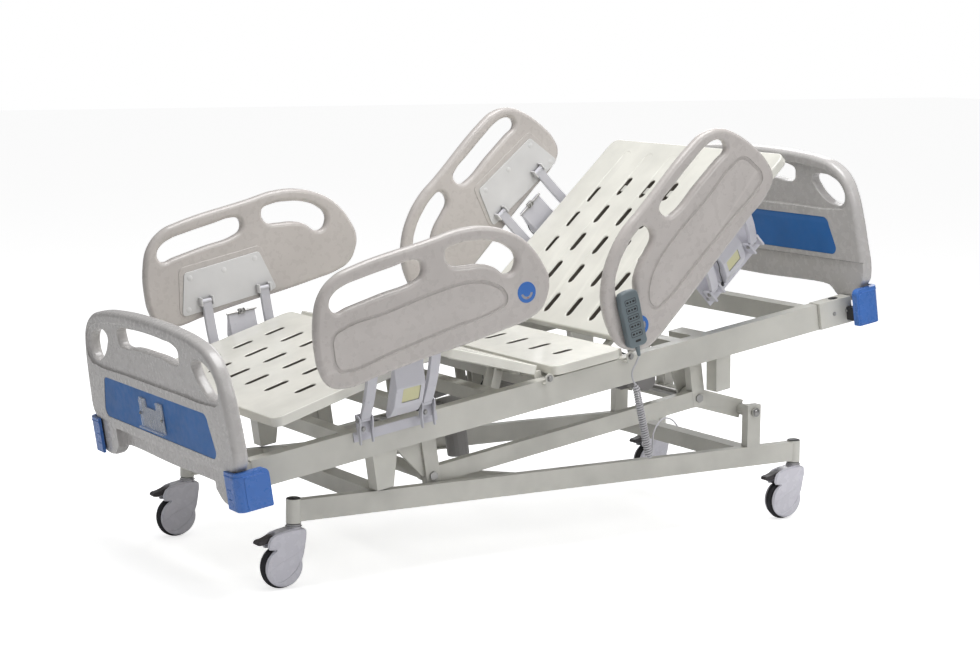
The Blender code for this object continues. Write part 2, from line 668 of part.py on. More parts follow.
def mirrored(half):
    """A closed outline from half of one whose ends lie on the middle line."""
    return half + [(-v, h) for v, h in reversed(half[1:-1])]


def board_holes():
    """The grip slot and the two side openings of an end board."""
    grip = mirrored([(0.000, 0.322), (0.100, 0.321), (0.180, 0.314), (0.212, 0.322),
                     (0.224, 0.350), (0.222, 0.374), (0.195, 0.389), (0.110, 0.397),
                     (0.000, 0.400)])
    side = [(0.300, 0.362), (0.345, 0.370), (0.397, 0.360), (0.438, 0.332), (0.453, 0.285),
            (0.432, 0.254), (0.385, 0.251), (0.337, 0.273), (0.299, 0.310), (0.285, 0.342)]
    return [grip, side, [(-v, h) for v, h in reversed(side)]]


def inset_outline(shrink=0.0):
    """The coloured panel's outline in (v, h): a trapezoid with rounded corners."""
    r = 0.018
    top = 0.217 - shrink
    low = 0.093 + shrink
    v_top = 0.364 - shrink
    v_low = 0.389 - shrink
    half = arc((v_low - r, low + r), r, -90, 0, 3) + arc((v_top - r, top - r), r, 0, 90, 3)
    return half + [(-v, h) for v, h in reversed(half)]


def board_axes(u, rise, squash):
    """Upright axes for an outline in (v, h), at a place along the bed."""
    return Matrix(((0, 0, 1, u), (1, 0, 0, 0), (0, squash, 0, rise), (0, 0, 0, 1)))


def build_board(name, u, rise, squash, outline, parent):
    """One blow-moulded end board, its coloured panel recessed in the face towards the foot."""
    upright = board_axes(u, rise, squash)
    body = sheet([outline] + board_holes(), BOARD_T, upright, bevel=BOARD_BEVEL,
                 smooth=True, resolution=2)
    face = u - BOARD_T / 2
    pocket = board_axes(face, rise, squash)
    body = joined([body], [sheet([inset_outline()], 2 * INSET_T, pocket)])
    place(name, body, "board_plastic", parent)
    seat = board_axes(face + (INSET_T - GAP) / 2, rise, squash)
    place(name + "_panel", joined([sheet([inset_outline(GAP)], INSET_T - GAP, seat)]),
          "blue_panel", parent)


def build_bumper(name, side, outer_u, inward, h, back_u, lug_v, parent):
    """Corner bumper wrapped round a frame corner: L-shaped in plan with a rounded corner."""
    r = BUMPER_R
    corner = (outer_u + inward * r, BUMPER_V - r)
    steps = 5
    outer = [(corner[0] - inward * r * math.cos(math.pi / 2 * i / steps),
              corner[1] + r * math.sin(math.pi / 2 * i / steps)) for i in range(steps + 1)]
    face = outer_u + inward * BUMPER_FACE_T
    wall = BUMPER_V - BUMPER_T
    outline = ([(outer_u, BUMPER_INNER_V)] + outer + [(back_u, BUMPER_V), (back_u, wall),
               (face, wall), (face, BUMPER_INNER_V)])
    outline = [(u, side * v) for u, v in outline]
    if side * inward > 0:
        outline.reverse()
    frame = Matrix.Translation((0, 0, (h[0] + h[1]) / 2))
    lug_u = sorted((back_u - inward * 0.012, back_u - inward * 0.036))
    lug = box(lug_u, sorted((side * (lug_v + GAP), side * (wall + 0.004))),
              (h[0] + 0.012, min(h[1], FRAME_H) - 0.010))
    shell = sheet([outline], h[1] - h[0], frame)
    place(name, joined([shell, lug]), "blue_bumper", parent)


def build_card_holder(parent):
    """Clear card holder clipped on the footboard's panel."""
    face = FOOTBOARD_U - BOARD_T / 2
    x = (face - 0.0045, face - GAP)
    plate = box(x, (-0.062, 0.100), (0.108, 0.196), bevel=0.0015)
    notch = box((x[0] - 0.01, x[1] + 0.01), (-0.018, 0.056), (0.172, 0.210))
    lip = box((x[0] - 0.009, x[0] + 0.001), (-0.062, 0.100), (0.108, 0.113))
    place("card_holder", joined([plate, lip], [notch]), "clear_plastic", parent)


# ---------------------------------------------------------------- side rails
def rail_outline(length):
    """A side rail's outer edge: x from its square end to its round end, z up."""
    tall = RAIL_TALL
    return [(0.050, 0.017), (0.170, 0.027), (0.300, 0.040), (length - 0.265, 0.051),
            (length - 0.160, 0.062), (length - 0.075, 0.074), (length - 0.035, 0.091),
            (length - 0.012, 0.120), (length, 0.160), (length - 0.012, 0.205),
            (length - 0.058, 0.276), (length - 0.104, 0.310), (length - 0.160, 0.334),
            (length - 0.247, tall), (0.366, tall - 0.010), (0.120, tall - 0.036),
            (0.076, tall - 0.048), (0.030, 0.262), (0.007, 0.207), (-0.003, 0.114),
            (0.002, 0.068), (0.020, 0.030)]


def rail_slots(length):
    """The long grip slot and the arched opening of a side rail."""
    cut = FOOT_RAIL_LEN - length
    long_slot = [(0.058, 0.203), (0.039, 0.220), (0.038, 0.245), (0.056, 0.268),
                 (0.090, 0.284), (0.150, 0.294), (0.240, 0.304), (0.305, 0.310),
                 (0.332, 0.302), (0.342, 0.280), (0.334, 0.252), (0.310, 0.238),
                 (0.200, 0.223), (0.100, 0.209)]
    arch = [(0.398, 0.297), (0.408, 0.316), (0.440, 0.325), (0.500, 0.324), (0.560, 0.311),
            (0.607, 0.286), (0.633, 0.252), (0.629, 0.218), (0.608, 0.198), (0.578, 0.199),
            (0.545, 0.226), (0.508, 0.240), (0.455, 0.246), (0.420, 0.253), (0.402, 0.272)]
    return [long_slot, [(x - cut, z) for x, z in arch]]


def build_side_rail(name, end, side, lean, parent):
    """Bracket, arm pair, latch link and moulded panel of one fold-down rail."""
    mid, arms_mid, pivot_h, flip, length, drop, turn = RAILS[end]
    low = Vector((arms_mid, side * ARM_PIVOT_V, pivot_h))
    top = low + Vector((0, side * ARM_LEN * math.sin(lean), ARM_LEN * math.cos(lean)))
    build_rail_bracket(name, side, low, parent)
    build_rail_arms(name, low, top, parent)
    build_latch_link(name, side, low, top, parent)
    v = top.y + side * RAIL_OFFSET
    centre = Matrix.Translation((length / 2, RAIL_TALL / 2, 0))
    upright = (Matrix(((flip, 0, 0, mid - flip * length / 2), (0, 0, 1, v),
                       (0, 1, 0, top.z - drop), (0, 0, 0, 1)))
               @ centre @ Matrix.Rotation(turn, 4, "Z") @ centre.inverted())
    pieces = [sheet([rail_outline(length)] + rail_slots(length), RAIL_T, upright, bevel=0.009,
                    smooth=True, resolution=2)]
    inner = v - side * RAIL_T / 2
    pieces.append(box((arms_mid - 0.150, arms_mid + 0.150),
                      sorted((inner + side * 0.002, inner - side * 0.005)),
                      (top.z - 0.020, top.z + 0.110)))
    for x in (-ARM_SPACING / 2, ARM_SPACING / 2):
        for ear in (-0.019, 0.019):
            middle = arms_mid + x + ear
            pieces.append(box((middle - 0.003, middle + 0.003),
                              sorted((inner + side * 0.001, top.y - side * 0.010)),
                              (top.z - 0.014, top.z + 0.014)))
    place(name + "_panel", joined(pieces), "rail_plastic", parent, top)


def build_rail_bracket(name, side, low, parent):
    """Bracket bolted to the frame's side or hung under the back section, with pivot ears."""
    hung = low.z < 0
    reach = ARM_SPACING / 2 + 0.030
    along = (low.x - reach, low.x + reach)
    within = (along[0] + 0.001, along[1] - 0.001)
    if hung:
        back_v = FRAME_V[1] + 0.0012
        top = BOARD_LOW - GAP
        pieces = [box(along, sorted((side * back_v, side * (back_v + 0.005))),
                      (low.z - 0.045, top)),
                  box(within, sorted((side * 0.370, side * (back_v + 0.004))),
                      (top - 0.005, top - 0.0001))]
        ear_v = back_v + 0.001
        ear_h = (low.z - 0.030, low.z + 0.0095)
    else:
        back_v = FRAME_V[1] + GAP
        pieces = [box(along, sorted((side * back_v, side * (back_v + 0.005))), (0.030, 0.0790)),
                  box(within, sorted((side * (back_v + 0.001), side * 0.4600)),
                      (0.0740, 0.0800))]
        ear_v = DECK_HALF_W + 0.0025
        ear_h = (0.0750, low.z + 0.0095)
    for x in (-ARM_SPACING / 2, ARM_SPACING / 2):
        for ear in (-0.019, 0.019):
            middle = low.x + x + ear
            pieces.append(box((middle - 0.003, middle + 0.003),
                              sorted((side * ear_v, low.y + side * 0.012)), ear_h))
    place(name + "_bracket", joined(pieces), "lever_grey", parent, low)


def build_rail_arms(name, low, top, parent):
    """The two swing arms of a rail, tied by their lower pivot tube."""
    pieces = []
    for x in (-ARM_SPACING / 2, ARM_SPACING / 2):
        start = low + Vector((x, 0, 0))
        end = top + Vector((x, 0, 0))
        along = (end - start).normalized()
        arm = box((-0.0155, 0.0155), (-0.006, 0.006), (0, (end - start).length))
        arm.data.transform(Matrix.Translation(start)
                           @ Vector((0, 0, 1)).rotation_difference(along).to_matrix().to_4x4())
        pieces.append(arm)
        for point in (start, end):
            pieces.append(rod(point - Vector((0.0155, 0, 0)), point + Vector((0.0155, 0, 0)),
                              0.0075, 8))
    inside = ARM_SPACING / 2 - 0.0225
    tie = low + (top - low) * 0.74
    pieces.append(rod(tie - Vector((inside + 0.02, 0, 0)), tie + Vector((inside + 0.02, 0, 0)),
                      0.005, 8))
    place(name + "_arms", joined(pieces), "lever_grey", parent, low)


def build_latch_link(name, side, low, top, parent):
    """The latch housing in the middle of a rail's arms, swinging with them."""
    half = ARM_SPACING / 2 - 0.026
    foot = low + (top - low) * 0.10
    head = low + (top - low) * 0.62
    along = (head - foot).normalized()
    length = (head - foot).length
    body = box((-half, half), (-0.012, 0.014), (0, length), bevel=0.006, bevel_axis=0)
    turn = Vector((0, 0, 1)).rotation_difference(along).to_matrix().to_4x4()
    body.data.transform(Matrix.Translation(foot) @ turn)
    place(name + "_latch", body, "lever_grey", parent, low)


# ---------------------------------------------------------------- handset and controls
def back_lever_tip():
    """Place of the back lever's pin in bed axes, as the back section stands."""
    return (BACK_HINGE_U + BACK_LEVER_LEN * math.sin(BACK_ANGLE),
            HINGE_H - BACK_LEVER_LEN * math.cos(BACK_ANGLE))


def thigh_lever_tip():
    """Place of the thigh lever's pin in bed axes, as the thigh section stands."""
    return (THIGH_HINGE_U - KNEE_LEVER_LEN * math.sin(THIGH_ANGLE),
            HINGE_H - KNEE_LEVER_LEN * math.cos(THIGH_ANGLE))


def build_handset(parent):
    """Hand control hung on the near head rail, with its coiled cable below."""
    size = HANDSET_SIZE
    outer_face = ARM_PIVOT_V + ARM_LEN * math.sin(NEAR_LEAN) + RAIL_OFFSET + RAIL_T / 2
    centre = Vector((HANDSET_X, -(outer_face + GAP + size[1] / 2), HANDSET_Z))
    turn = Matrix.Translation(centre) @ Matrix.Rotation(HANDSET_LEAN, 4, "Y")
    body = box((-size[0] / 2, size[0] / 2), (-size[1] / 2, size[1] / 2),
               (-size[2] / 2, size[2] / 2), bevel=0.006)
    neck = rod((0, 0, -size[2] / 2 + 0.004), (0, 0, -size[2] / 2 - 0.030), 0.007, 10, 0.005)
    handset = joined([body, neck])
    handset.data.transform(turn)
    place("handset", handset, "handset_plastic", parent, centre)
    top = turn @ Vector((0, 0, -size[2] / 2 - 0.0325))
    path = [top + Vector(step) for step in CABLE_DROP]
    pieces = [rod(path[0], path[1], 0.0028, 8), rod(path[1], path[2], 0.0028, 8),
              rod(path[2], path[3], COIL_R, 14, COIL_R * 1.15),
              rod(path[3] + Vector((0, 0, 0.004)), path[4], 0.0028, 8),
              rod(path[4] - Vector((0.001, 0, 0.002)), path[5], 0.0028, 8),
              rod(path[5] - Vector((0.002, 0, -0.001)), path[6], 0.0028, 8)]
    place("handset_cable", joined(pieces), "cable_grey", parent, top)


def build_control_box(parent):
    """Control box of the actuators, hung between the frame's cross members."""
    body = box((1.2023, 1.352), (-0.060, 0.040), (-0.004, 0.038), bevel=0.006)
    place("control_box", body, "actuator_grey", parent)


def place_origin(root):
    """Move the whole bed so that the middle of its footprint is the origin."""
    bpy.context.view_layer.update()
    corners = [piece.matrix_world @ vert.co for piece in PARTS.objects if piece.type == "MESH"
               for vert in piece.data.vertices]
    low = [min(corner[i] for corner in corners) for i in range(3)]
    high = [max(corner[i] for corner in corners) for i in range(3)]
    root.location = (-(low[0] + high[0]) / 2, -(low[1] + high[1]) / 2, -low[2])
    bpy.context.view_layer.update()


def main():
    """Build the whole bed."""
    global WORKSHOP, PARTS
    clear_scene()
    WORKSHOP = collection("workshop")
    PARTS = collection("hospital_bed")
    root = axes("bed_origin", None, (0, 0, 0))
    build_base(root)
    for end, x in (("foot", 0.0), ("head", WHEELBASE)):
        for side, v in (("near", -RAIL_V), ("far", RAIL_V)):
            build_caster(end, side, x, v, root)
    build_head_crank(root)
    build_foot_crank(root)
    build_pivot_shaft("head_pivot_shaft", HEAD_PIVOT_U, root)
    build_pivot_shaft("foot_pivot_shaft", FOOT_PIVOT_U, root)
    bed = axes("bed_axes", root, (FRAME_FOOT_X, 0, FRAME_FOOT_Z), -TILT)
    back = axes("back_axes", bed, (BACK_HINGE_U, 0, HINGE_H), -BACK_ANGLE)
    thigh = axes("thigh_axes", bed, (THIGH_HINGE_U, 0, HINGE_H), THIGH_ANGLE)
    leg = axes("leg_axes", thigh, (-THIGH_LEN, 0, 0), -KNEE_BEND)
    build_bed_frame(bed)
    build_deck(bed, back, thigh, leg)
    build_board("footboard", FOOTBOARD_U, 0.0, 1.0, board_outline(0.0165, -0.019, 0.088), bed)
    build_board("headboard", HEADBOARD_U, HEADBOARD_RISE, HEADBOARD_SQUASH,
                board_outline(-0.006, -0.045, 0.010), bed)
    build_card_holder(bed)
    for side, sign in (("near", -1), ("far", 1)):
        build_bumper("foot_%s_bumper" % side, sign, -0.087, 1, (-0.030, 0.076), 0.012,
                     FRAME_V[1], bed)
        build_bumper("head_%s_bumper" % side, sign, 2.138, -1, (0.000, 0.114), 2.046,
                     SOCKET_V[1], bed)
        lean = NEAR_LEAN if side == "near" else FAR_LEAN
        build_side_rail("foot_%s_rail" % side, "foot", sign, lean, bed)
        build_side_rail("head_%s_rail" % side, "head", sign, lean, back)
    head_tip = (HEAD_PIVOT_U + 0.1968, PIVOT_H + 0.0363)
    build_actuator("head_lift", HEAD_LANE, HEAD_REAR, head_tip, bed, 0.07, 0.46, (0, -0.125, 0))
    foot_tip = (FOOT_PIVOT_U, PIVOT_H + FOOT_LEVER)
    build_actuator("foot_lift", FOOT_LANE, FOOT_REAR, foot_tip, bed, 0.12, 0.24, (0, 0, -0.149))
    build_actuator("back_lift", BACK_LANE, BACK_REAR, back_lever_tip(), bed, 0.07, 0.33,
                   (0, 0.125, 0))
    build_actuator("knee_lift", KNEE_LANE, KNEE_REAR, thigh_lever_tip(), bed, 0.07, 0.34,
                   (0, -0.125, 0))
    build_control_box(bed)
    build_handset(root)
    place_origin(root)


main()
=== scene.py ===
"""Looks of the adjustable hospital bed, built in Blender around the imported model.

Section axes follow the CAD: x along the section, y across the bed, z square to it.
"""
import math

import bmesh
import bpy
from mathutils import Matrix, Vector


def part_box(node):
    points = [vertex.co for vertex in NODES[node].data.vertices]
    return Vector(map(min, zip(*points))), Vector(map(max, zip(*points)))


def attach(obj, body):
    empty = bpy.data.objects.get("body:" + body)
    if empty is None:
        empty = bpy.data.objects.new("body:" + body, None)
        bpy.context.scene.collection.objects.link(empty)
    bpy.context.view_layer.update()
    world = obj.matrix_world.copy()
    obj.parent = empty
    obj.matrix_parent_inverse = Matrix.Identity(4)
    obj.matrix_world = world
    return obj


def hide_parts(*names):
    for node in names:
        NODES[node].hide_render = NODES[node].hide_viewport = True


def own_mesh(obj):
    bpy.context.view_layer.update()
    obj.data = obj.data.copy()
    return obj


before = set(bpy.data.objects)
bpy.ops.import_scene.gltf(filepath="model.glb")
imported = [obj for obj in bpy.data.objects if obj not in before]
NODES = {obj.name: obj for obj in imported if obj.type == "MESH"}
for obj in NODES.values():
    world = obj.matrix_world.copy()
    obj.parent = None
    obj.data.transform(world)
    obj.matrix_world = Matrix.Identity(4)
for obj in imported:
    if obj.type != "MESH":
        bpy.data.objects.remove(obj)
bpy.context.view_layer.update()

# ---- axes of the sections
BASE_LOW, BASE_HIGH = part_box("base_frame")
CASTER_TUBE_R = 0.021
ORIGIN = Vector((BASE_LOW.x + CASTER_TUBE_R, (BASE_LOW.y + BASE_HIGH.y) / 2, 0))
WHEELBASE = BASE_HIGH.x - BASE_LOW.x - 2 * CASTER_TUBE_R
CASTER_Y = 0.356
KNEE_X = 0.942
HIP_X = 1.227
HINGE_Z = 0.087
THIGH_LEN = 0.37
BED_ANGLE, BACK_ANGLE, THIGH_ANGLE, LEG_ANGLE = -8.9, -35.0, 22.8, -31.5
SIDES = (-1, 1)


def mm(*points):
    """Points in metres from points in millimetres."""
    return [tuple(value / 1000 for value in point) for point in points]


def moved(matrix, x=0, y=0, z=0):
    """The given axes moved along themselves."""
    return matrix @ Matrix.Translation((x, y, z))


def turned(matrix, x, z, angle):
    """Axes at (x, z) of the given ones, turned about their y by an angle in degrees."""
    return moved(matrix, x, 0, z) @ Matrix.Rotation(math.radians(angle), 4, "Y")


WORLD = Matrix.Translation(ORIGIN)
BED = turned(WORLD, -0.15, 0.3, BED_ANGLE)
BACK = turned(BED, HIP_X, HINGE_Z, BACK_ANGLE)
SEAT = moved(BED, 0, 0, HINGE_Z)
THIGH = turned(BED, KNEE_X, HINGE_Z, THIGH_ANGLE)
LEG = turned(THIGH, -THIGH_LEN, 0, LEG_ANGLE)

# ---- finishes
# colour, roughness, metallic, grain per metre, bump, mottling, coat
FINISHES = {
    "powder_coat": ((0.665, 0.655, 0.605), 0.34, 0, 900, 0.1, 0.05, 0.25),
    "deck_plastic": ((0.87, 0.86, 0.79), 0.22, 0, 500, 0.05, 0.04, 0.45),
    "rail_plastic": ((0.6, 0.562, 0.54), 0.28, 0, 1400, 0.1, 0.02, 0.3),
    "board_plastic": ((0.58, 0.562, 0.552), 0.26, 0, 1400, 0.1, 0.02, 0.35),
    "blue_panel": ((0.012, 0.15, 0.48), 0.45, 0, 1800, 0.04, 0.05, 0),
    "blue_bumper": ((0.055, 0.19, 0.6), 0.28, 0, 1500, 0.1, 0.04, 0.25),
    "caster_plastic": ((0.75, 0.74, 0.81), 0.26, 0, 1600, 0.06, 0.03, 0.35),
    "tyre_rubber": ((0.022, 0.021, 0.026), 0.62, 0, 1200, 0.25, 0.1, 0),
    "pedal_plastic": ((0.045, 0.038, 0.042), 0.4, 0, 1500, 0.15, 0.08, 0),
    "lever_grey": ((0.62, 0.615, 0.665), 0.32, 0, 1500, 0.05, 0.03, 0.15),
    "plate_grey": ((0.75, 0.745, 0.75), 0.34, 0, 1500, 0.08, 0.04, 0.1),
    "actuator_grey": ((0.3, 0.29, 0.29), 0.42, 0, 1300, 0.15, 0.06, 0),
    "zinc": ((0.4, 0.395, 0.39), 0.3, 1.0, 700, 0.1, 0.12, 0),
    "clear_plastic": ((0.9, 0.93, 0.97), 0.06, 0, 300, 0.01, 0, 0.3),
    "handset_plastic": ((0.165, 0.205, 0.225), 0.4, 0, 2200, 0.15, 0.05, 0),
    "key_plastic": ((0.05, 0.06, 0.068), 0.34, 0, 2200, 0.1, 0.03, 0),
    "cable_grey": ((0.58, 0.57, 0.6), 0.42, 0, 1500, 0.08, 0.05, 0),
    "black_plastic": ((0.018, 0.018, 0.02), 0.38, 0, 1500, 0.12, 0.08, 0),
    # near black: painted shade for the walls inside the deck slots
    "painted_slot_shade": ((0.095, 0.08, 0.064), 0.6, 0, 1200, 0.2, 0.08, 0),
    "label": ((0.62, 0.6, 0.36), 0.45, 0, 1800, 0.03, 0.03, 0),
    "indicator_blue": ((0.05, 0.19, 0.6), 0.22, 0, 1500, 0.03, 0.04, 0.4),
    "indicator_grey": ((0.36, 0.35, 0.37), 0.4, 0, 1500, 0.05, 0.04, 0),
    "red_ball": ((0.55, 0.015, 0.02), 0.25, 0, 1500, 0.02, 0.03, 0.3),
}
MADE = {}
MOTTLE_SCALE = 7
GLOSS_SCALE = 45
RELIEF = 0.0006
COAT_ROUGHNESS = 0.12
WEAR = (1.12, 0.02)
# painted shade: how dark crevices are painted, and how far the occlusion that finds them reaches
PAINTED_SHADE = 0.3
PAINTED_SHADE_REACH = 0.022
CLEAR_ALPHA = 0.3


def feed(tree, socket, value):
    """Links a socket to an output, or gives it a value."""
    if isinstance(value, bpy.types.NodeSocket):
        tree.links.new(value, socket)
    else:
        socket.default_value = value


def node_of(tree, kind, **inputs):
    """A new shader node with its inputs fed; _ in a name stands for a space."""
    node = tree.nodes.new("ShaderNode" + kind)
    for name, value in inputs.items():
        feed(tree, node.inputs[name.replace("_", " ")], value)
    return node


def noise(tree, scale, detail):
    """Noise in a piece's own coordinates."""
    place = node_of(tree, "TexCoord").outputs["Object"]
    return node_of(tree, "TexNoise", Vector=place, Scale=scale, Detail=detail).outputs["Fac"]


def ranged(tree, source, low, high, first=0.35, last=0.65):
    """A source's values from first to last, spread from low to high."""
    node = node_of(tree, "MapRange", Value=source, From_Min=first, From_Max=last, To_Min=low, To_Max=high)
    return node.outputs["Result"]


def mixed(tree, factor, first, second):
    """Two colours mixed by a factor."""
    node = node_of(tree, "Mix")
    node.data_type = "RGBA"
    feed(tree, node.inputs["Factor"], factor)
    colours = [socket for socket in node.inputs if socket.type == "RGBA"]
    feed(tree, colours[0], first)
    feed(tree, colours[1], second)
    return [socket for socket in node.outputs if socket.type == "RGBA"][0]


def toned(colour, gain, lift=0):
    """A colour made lighter or darker, with its alpha."""
    return (*(min(1, part * gain + lift) for part in colour), 1)


def finish(name):
    """The procedural material of one finish: mottled colour, grain, uneven gloss, worn edges, and painted
    shade darkening its crevices.
    """
    if name in MADE:
        return MADE[name]
    colour, rough, metal, grain, bump, mottling, coat = FINISHES[name]
    made = bpy.data.materials.new("finish_" + name)
    made.use_nodes = True
    tree = made.node_tree
    base = mixed(tree, ranged(tree, noise(tree, MOTTLE_SCALE, 3), 0, 1), toned(colour, 1 - 2 * mottling),
        toned(colour, 1 + mottling))
    point = node_of(tree, "NewGeometry").outputs["Pointiness"]
    base = mixed(tree, ranged(tree, point, 0, 0.6, 0.52, 0.62), base, toned(colour, *WEAR))
    # painted shade: colour darkened where ambient occlusion finds crevices, seams and hollows
    if name != "clear_plastic":
        crevice = node_of(tree, "AmbientOcclusion", Distance=PAINTED_SHADE_REACH)
        crevice.samples = 4
        depth = ranged(tree, crevice.outputs["AO"], 0.7, 0, 0.15, 0.8)
        base = mixed(tree, depth, base, toned(colour, PAINTED_SHADE))
    gloss = ranged(tree, noise(tree, GLOSS_SCALE, 4), rough * 0.85, min(1, rough * 1.2), 0.3, 0.7)
    relief = node_of(tree, "Bump", Strength=bump, Distance=RELIEF, Height=noise(tree, grain, 2))
    shader = tree.nodes["Principled BSDF"]
    for socket, value in (("Base Color", base), ("Roughness", gloss), ("Metallic", metal),
            ("Coat Weight", coat), ("Coat Roughness", COAT_ROUGHNESS),
            ("Normal", relief.outputs["Normal"])):
        feed(tree, shader.inputs[socket], value)
    if name == "clear_plastic":
        shader.inputs["Alpha"].default_value = CLEAR_ALPHA
    MADE[name] = made
    return made


# ---- mesh helpers
SHARP = math.radians(40)


def loose(mesh):
    """An object of a mesh, linked to the scene."""
    made = bpy.data.objects.new("loose", mesh)
    bpy.context.scene.collection.objects.link(made)
    return made


def from_bmesh(bm, matrix=None):
    """An object from a bmesh, its mesh moved by the matrix."""
    if matrix is not None:
        bmesh.ops.transform(bm, matrix=matrix, verts=bm.verts)
        if matrix.determinant() < 0:
            bmesh.ops.reverse_faces(bm, faces=bm.faces)
    mesh = bpy.data.meshes.new("loose")
    bm.to_mesh(mesh)
    bm.free()
    return loose(mesh)


def from_curve(curve, matrix):
    """The mesh of a curve, welded, facing out."""
    holder = bpy.data.objects.new("curve", curve)
    bpy.context.scene.collection.objects.link(holder)
    evaluated = holder.evaluated_get(bpy.context.evaluated_depsgraph_get())
    mesh = bpy.data.meshes.new_from_object(evaluated)
    bpy.data.objects.remove(holder)
    bm = bmesh.new()
    bm.from_mesh(mesh)
    bmesh.ops.remove_doubles(bm, verts=bm.verts, dist=0.00001)
    bmesh.ops.transform(bm, matrix=matrix, verts=bm.verts)
    bmesh.ops.recalc_face_normals(bm, faces=bm.faces)
    bm.to_mesh(mesh)
    bm.free()
    mesh.materials.clear()
    return loose(mesh)


def add_spline(curve, points, smooth):
    """A spline through (x, y, z) points, smooth or with straight pieces."""
    spline = curve.splines.new("BEZIER" if smooth else "POLY")
    knots = spline.bezier_points if smooth else spline.points
    knots.add(len(points) - 1)
    for knot, point in zip(knots, points):
        if smooth:
            knot.co = point
            knot.handle_left_type = "AUTO"
            knot.handle_right_type = "AUTO"
        else:
            knot.co = (*point, 1)
    return spline


def sheet(outlines, thickness, matrix, bevel=0, rounds=3, smooth=False, fine=6, grow=0):
    """A plate with rounded rims from closed outlines, holes included, about the XY plane."""
    curve = bpy.data.curves.new("outline", "CURVE")
    curve.dimensions = "2D"
    curve.fill_mode = "BOTH"
    curve.extrude = max(thickness / 2 - bevel, 0)
    curve.bevel_depth = bevel
    curve.bevel_resolution = rounds
    curve.offset = grow
    curve.resolution_u = fine
    for outline in outlines:
        add_spline(curve, [(x, y, 0) for x, y in outline], smooth).use_cyclic_u = True
    return from_curve(curve, matrix)


def tube(points, radius, matrix, smooth=True, sides=3):
    """A round wire or tube along a path."""
    curve = bpy.data.curves.new("path", "CURVE")
    curve.dimensions = "3D"
    curve.bevel_depth = radius
    curve.bevel_resolution = sides
    curve.use_fill_caps = True
    curve.resolution_u = 4
    add_spline(curve, points, smooth)
    return from_curve(curve, matrix)


def lathe(profile, matrix, steps):
    """A turned shape: (radius, z) pairs from the bottom to the top of its own z axis."""
    bm = bmesh.new()
    angles = [2 * math.pi * i / steps for i in range(steps)]
    rings = []
    for radius, z in profile:
        if radius:
            rings.append([bm.verts.new((radius * math.cos(a), radius * math.sin(a), z)) for a in angles])
        else:
            rings.append([bm.verts.new((0, 0, z))] * steps)
    for low, high in zip(rings, rings[1:]):
        for i in range(steps):
            corners = [low[i], low[(i + 1) % steps], high[(i + 1) % steps], high[i]]
            unique = list(dict.fromkeys(corners))
            if len(unique) > 2:
                bm.faces.new(unique)
    for ring in (rings[0], rings[-1]):
        if len(set(ring)) > 2:
            bm.faces.new(ring)
    bmesh.ops.recalc_face_normals(bm, faces=bm.faces)
    return from_bmesh(bm, matrix)


def rod(radius, half, matrix, steps=20):
    """A plain round bar along z, to both sides of its origin."""
    return lathe([(radius, -half), (radius, half)], matrix, steps)


def block(x, y, z, matrix, radius=0.002, segments=3):
    """A rounded block between (low, high) pairs."""
    bm = bmesh.new()
    bmesh.ops.create_cube(bm, size=1.0)
    sides = [abs(high - low) for low, high in (x, y, z)]
    middle = Vector((x[0] + x[1], y[0] + y[1], z[0] + z[1])) / 2
    bmesh.ops.transform(bm, matrix=Matrix.Translation(middle) @ Matrix.Diagonal((*sides, 1.0)),
        verts=bm.verts)
    bmesh.ops.bevel(bm, geom=bm.edges[:], offset=min(radius, min(sides) * 0.49), segments=segments,
        profile=0.5, affect="EDGES")
    return from_bmesh(bm, matrix)


def fused(pieces, operation="UNION"):
    """The first piece after an exact Boolean with all the others."""
    body, others = pieces[0], pieces[1:]
    tools = bpy.data.collections.new("tools")
    bpy.context.scene.collection.children.link(tools)
    for other in others:
        bpy.context.scene.collection.objects.unlink(other)
        tools.objects.link(other)
    change = body.modifiers.new("change", "BOOLEAN")
    change.operation = operation
    change.solver = "EXACT"
    change.operand_type = "COLLECTION"
    change.collection = tools
    evaluated = body.evaluated_get(bpy.context.evaluated_depsgraph_get())
    mesh = bpy.data.meshes.new_from_object(evaluated)
    for used in [body] + others:
        bpy.data.objects.remove(used)
    bpy.data.collections.remove(tools)
    return loose(mesh)


def grouped(pieces):
    """Several closed shapes as one mesh."""
    bm = bmesh.new()
    for piece in pieces:
        bm.from_mesh(piece.data)
        bpy.data.objects.remove(piece)
    return from_bmesh(bm)


def shade(piece, soften):
    """Rounded edges and even shading on flat faces."""
    if soften:
        edges = piece.modifiers.new("soften", "BEVEL")
        edges.width = soften
        edges.segments = 3
        edges.limit_method = "ANGLE"
        edges.angle_limit = SHARP
    piece.data.shade_smooth()
    piece.data.set_sharp_from_angle(angle=SHARP)
    faces = piece.modifiers.new("faces", "WEIGHTED_NORMAL")
    faces.keep_sharp = not soften
    faces.weight = 80


def show(name, piece, finish_name, body, stands_for=(), soften=0):
    """Names a piece (or joined pieces), gives it its finish, lets it ride on a CAD body."""
    if isinstance(piece, list):
        piece = grouped(piece)
    piece.name = name
    piece.data.name = name
    piece.data.materials.clear()
    piece.data.materials.append(finish(finish_name))
    shade(piece, soften)
    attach(piece, body)
    if stands_for:
        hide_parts(*stands_for)
    return piece


def arc(centre, radius, first, last, steps):
    """Points along an arc, angles in degrees."""
    return [(centre[0] + radius * math.cos(math.radians(first + (last - first) * i / steps)),
        centre[1] + radius * math.sin(math.radians(first + (last - first) * i / steps)))
        for i in range(steps + 1)]


def round_corners(corners, radius):
    """An outline from a convex polygon with its corners rounded, corners counter-clockwise."""
    steps = 5
    outline = []
    count = len(corners)
    for i, corner in enumerate(corners):
        here = Vector(corner)
        before = (Vector(corners[i - 1]) - here).normalized()
        after = (Vector(corners[(i + 1) % count]) - here).normalized()
        reach = radius / math.tan(before.angle(after) / 2)
        first, last = here + before * reach, here + after * reach
        for k in range(steps + 1):
            t = k / steps
            outline.append(tuple(first * (1 - t) ** 2 + here * 2 * t * (1 - t) + last * t * t))
    return outline


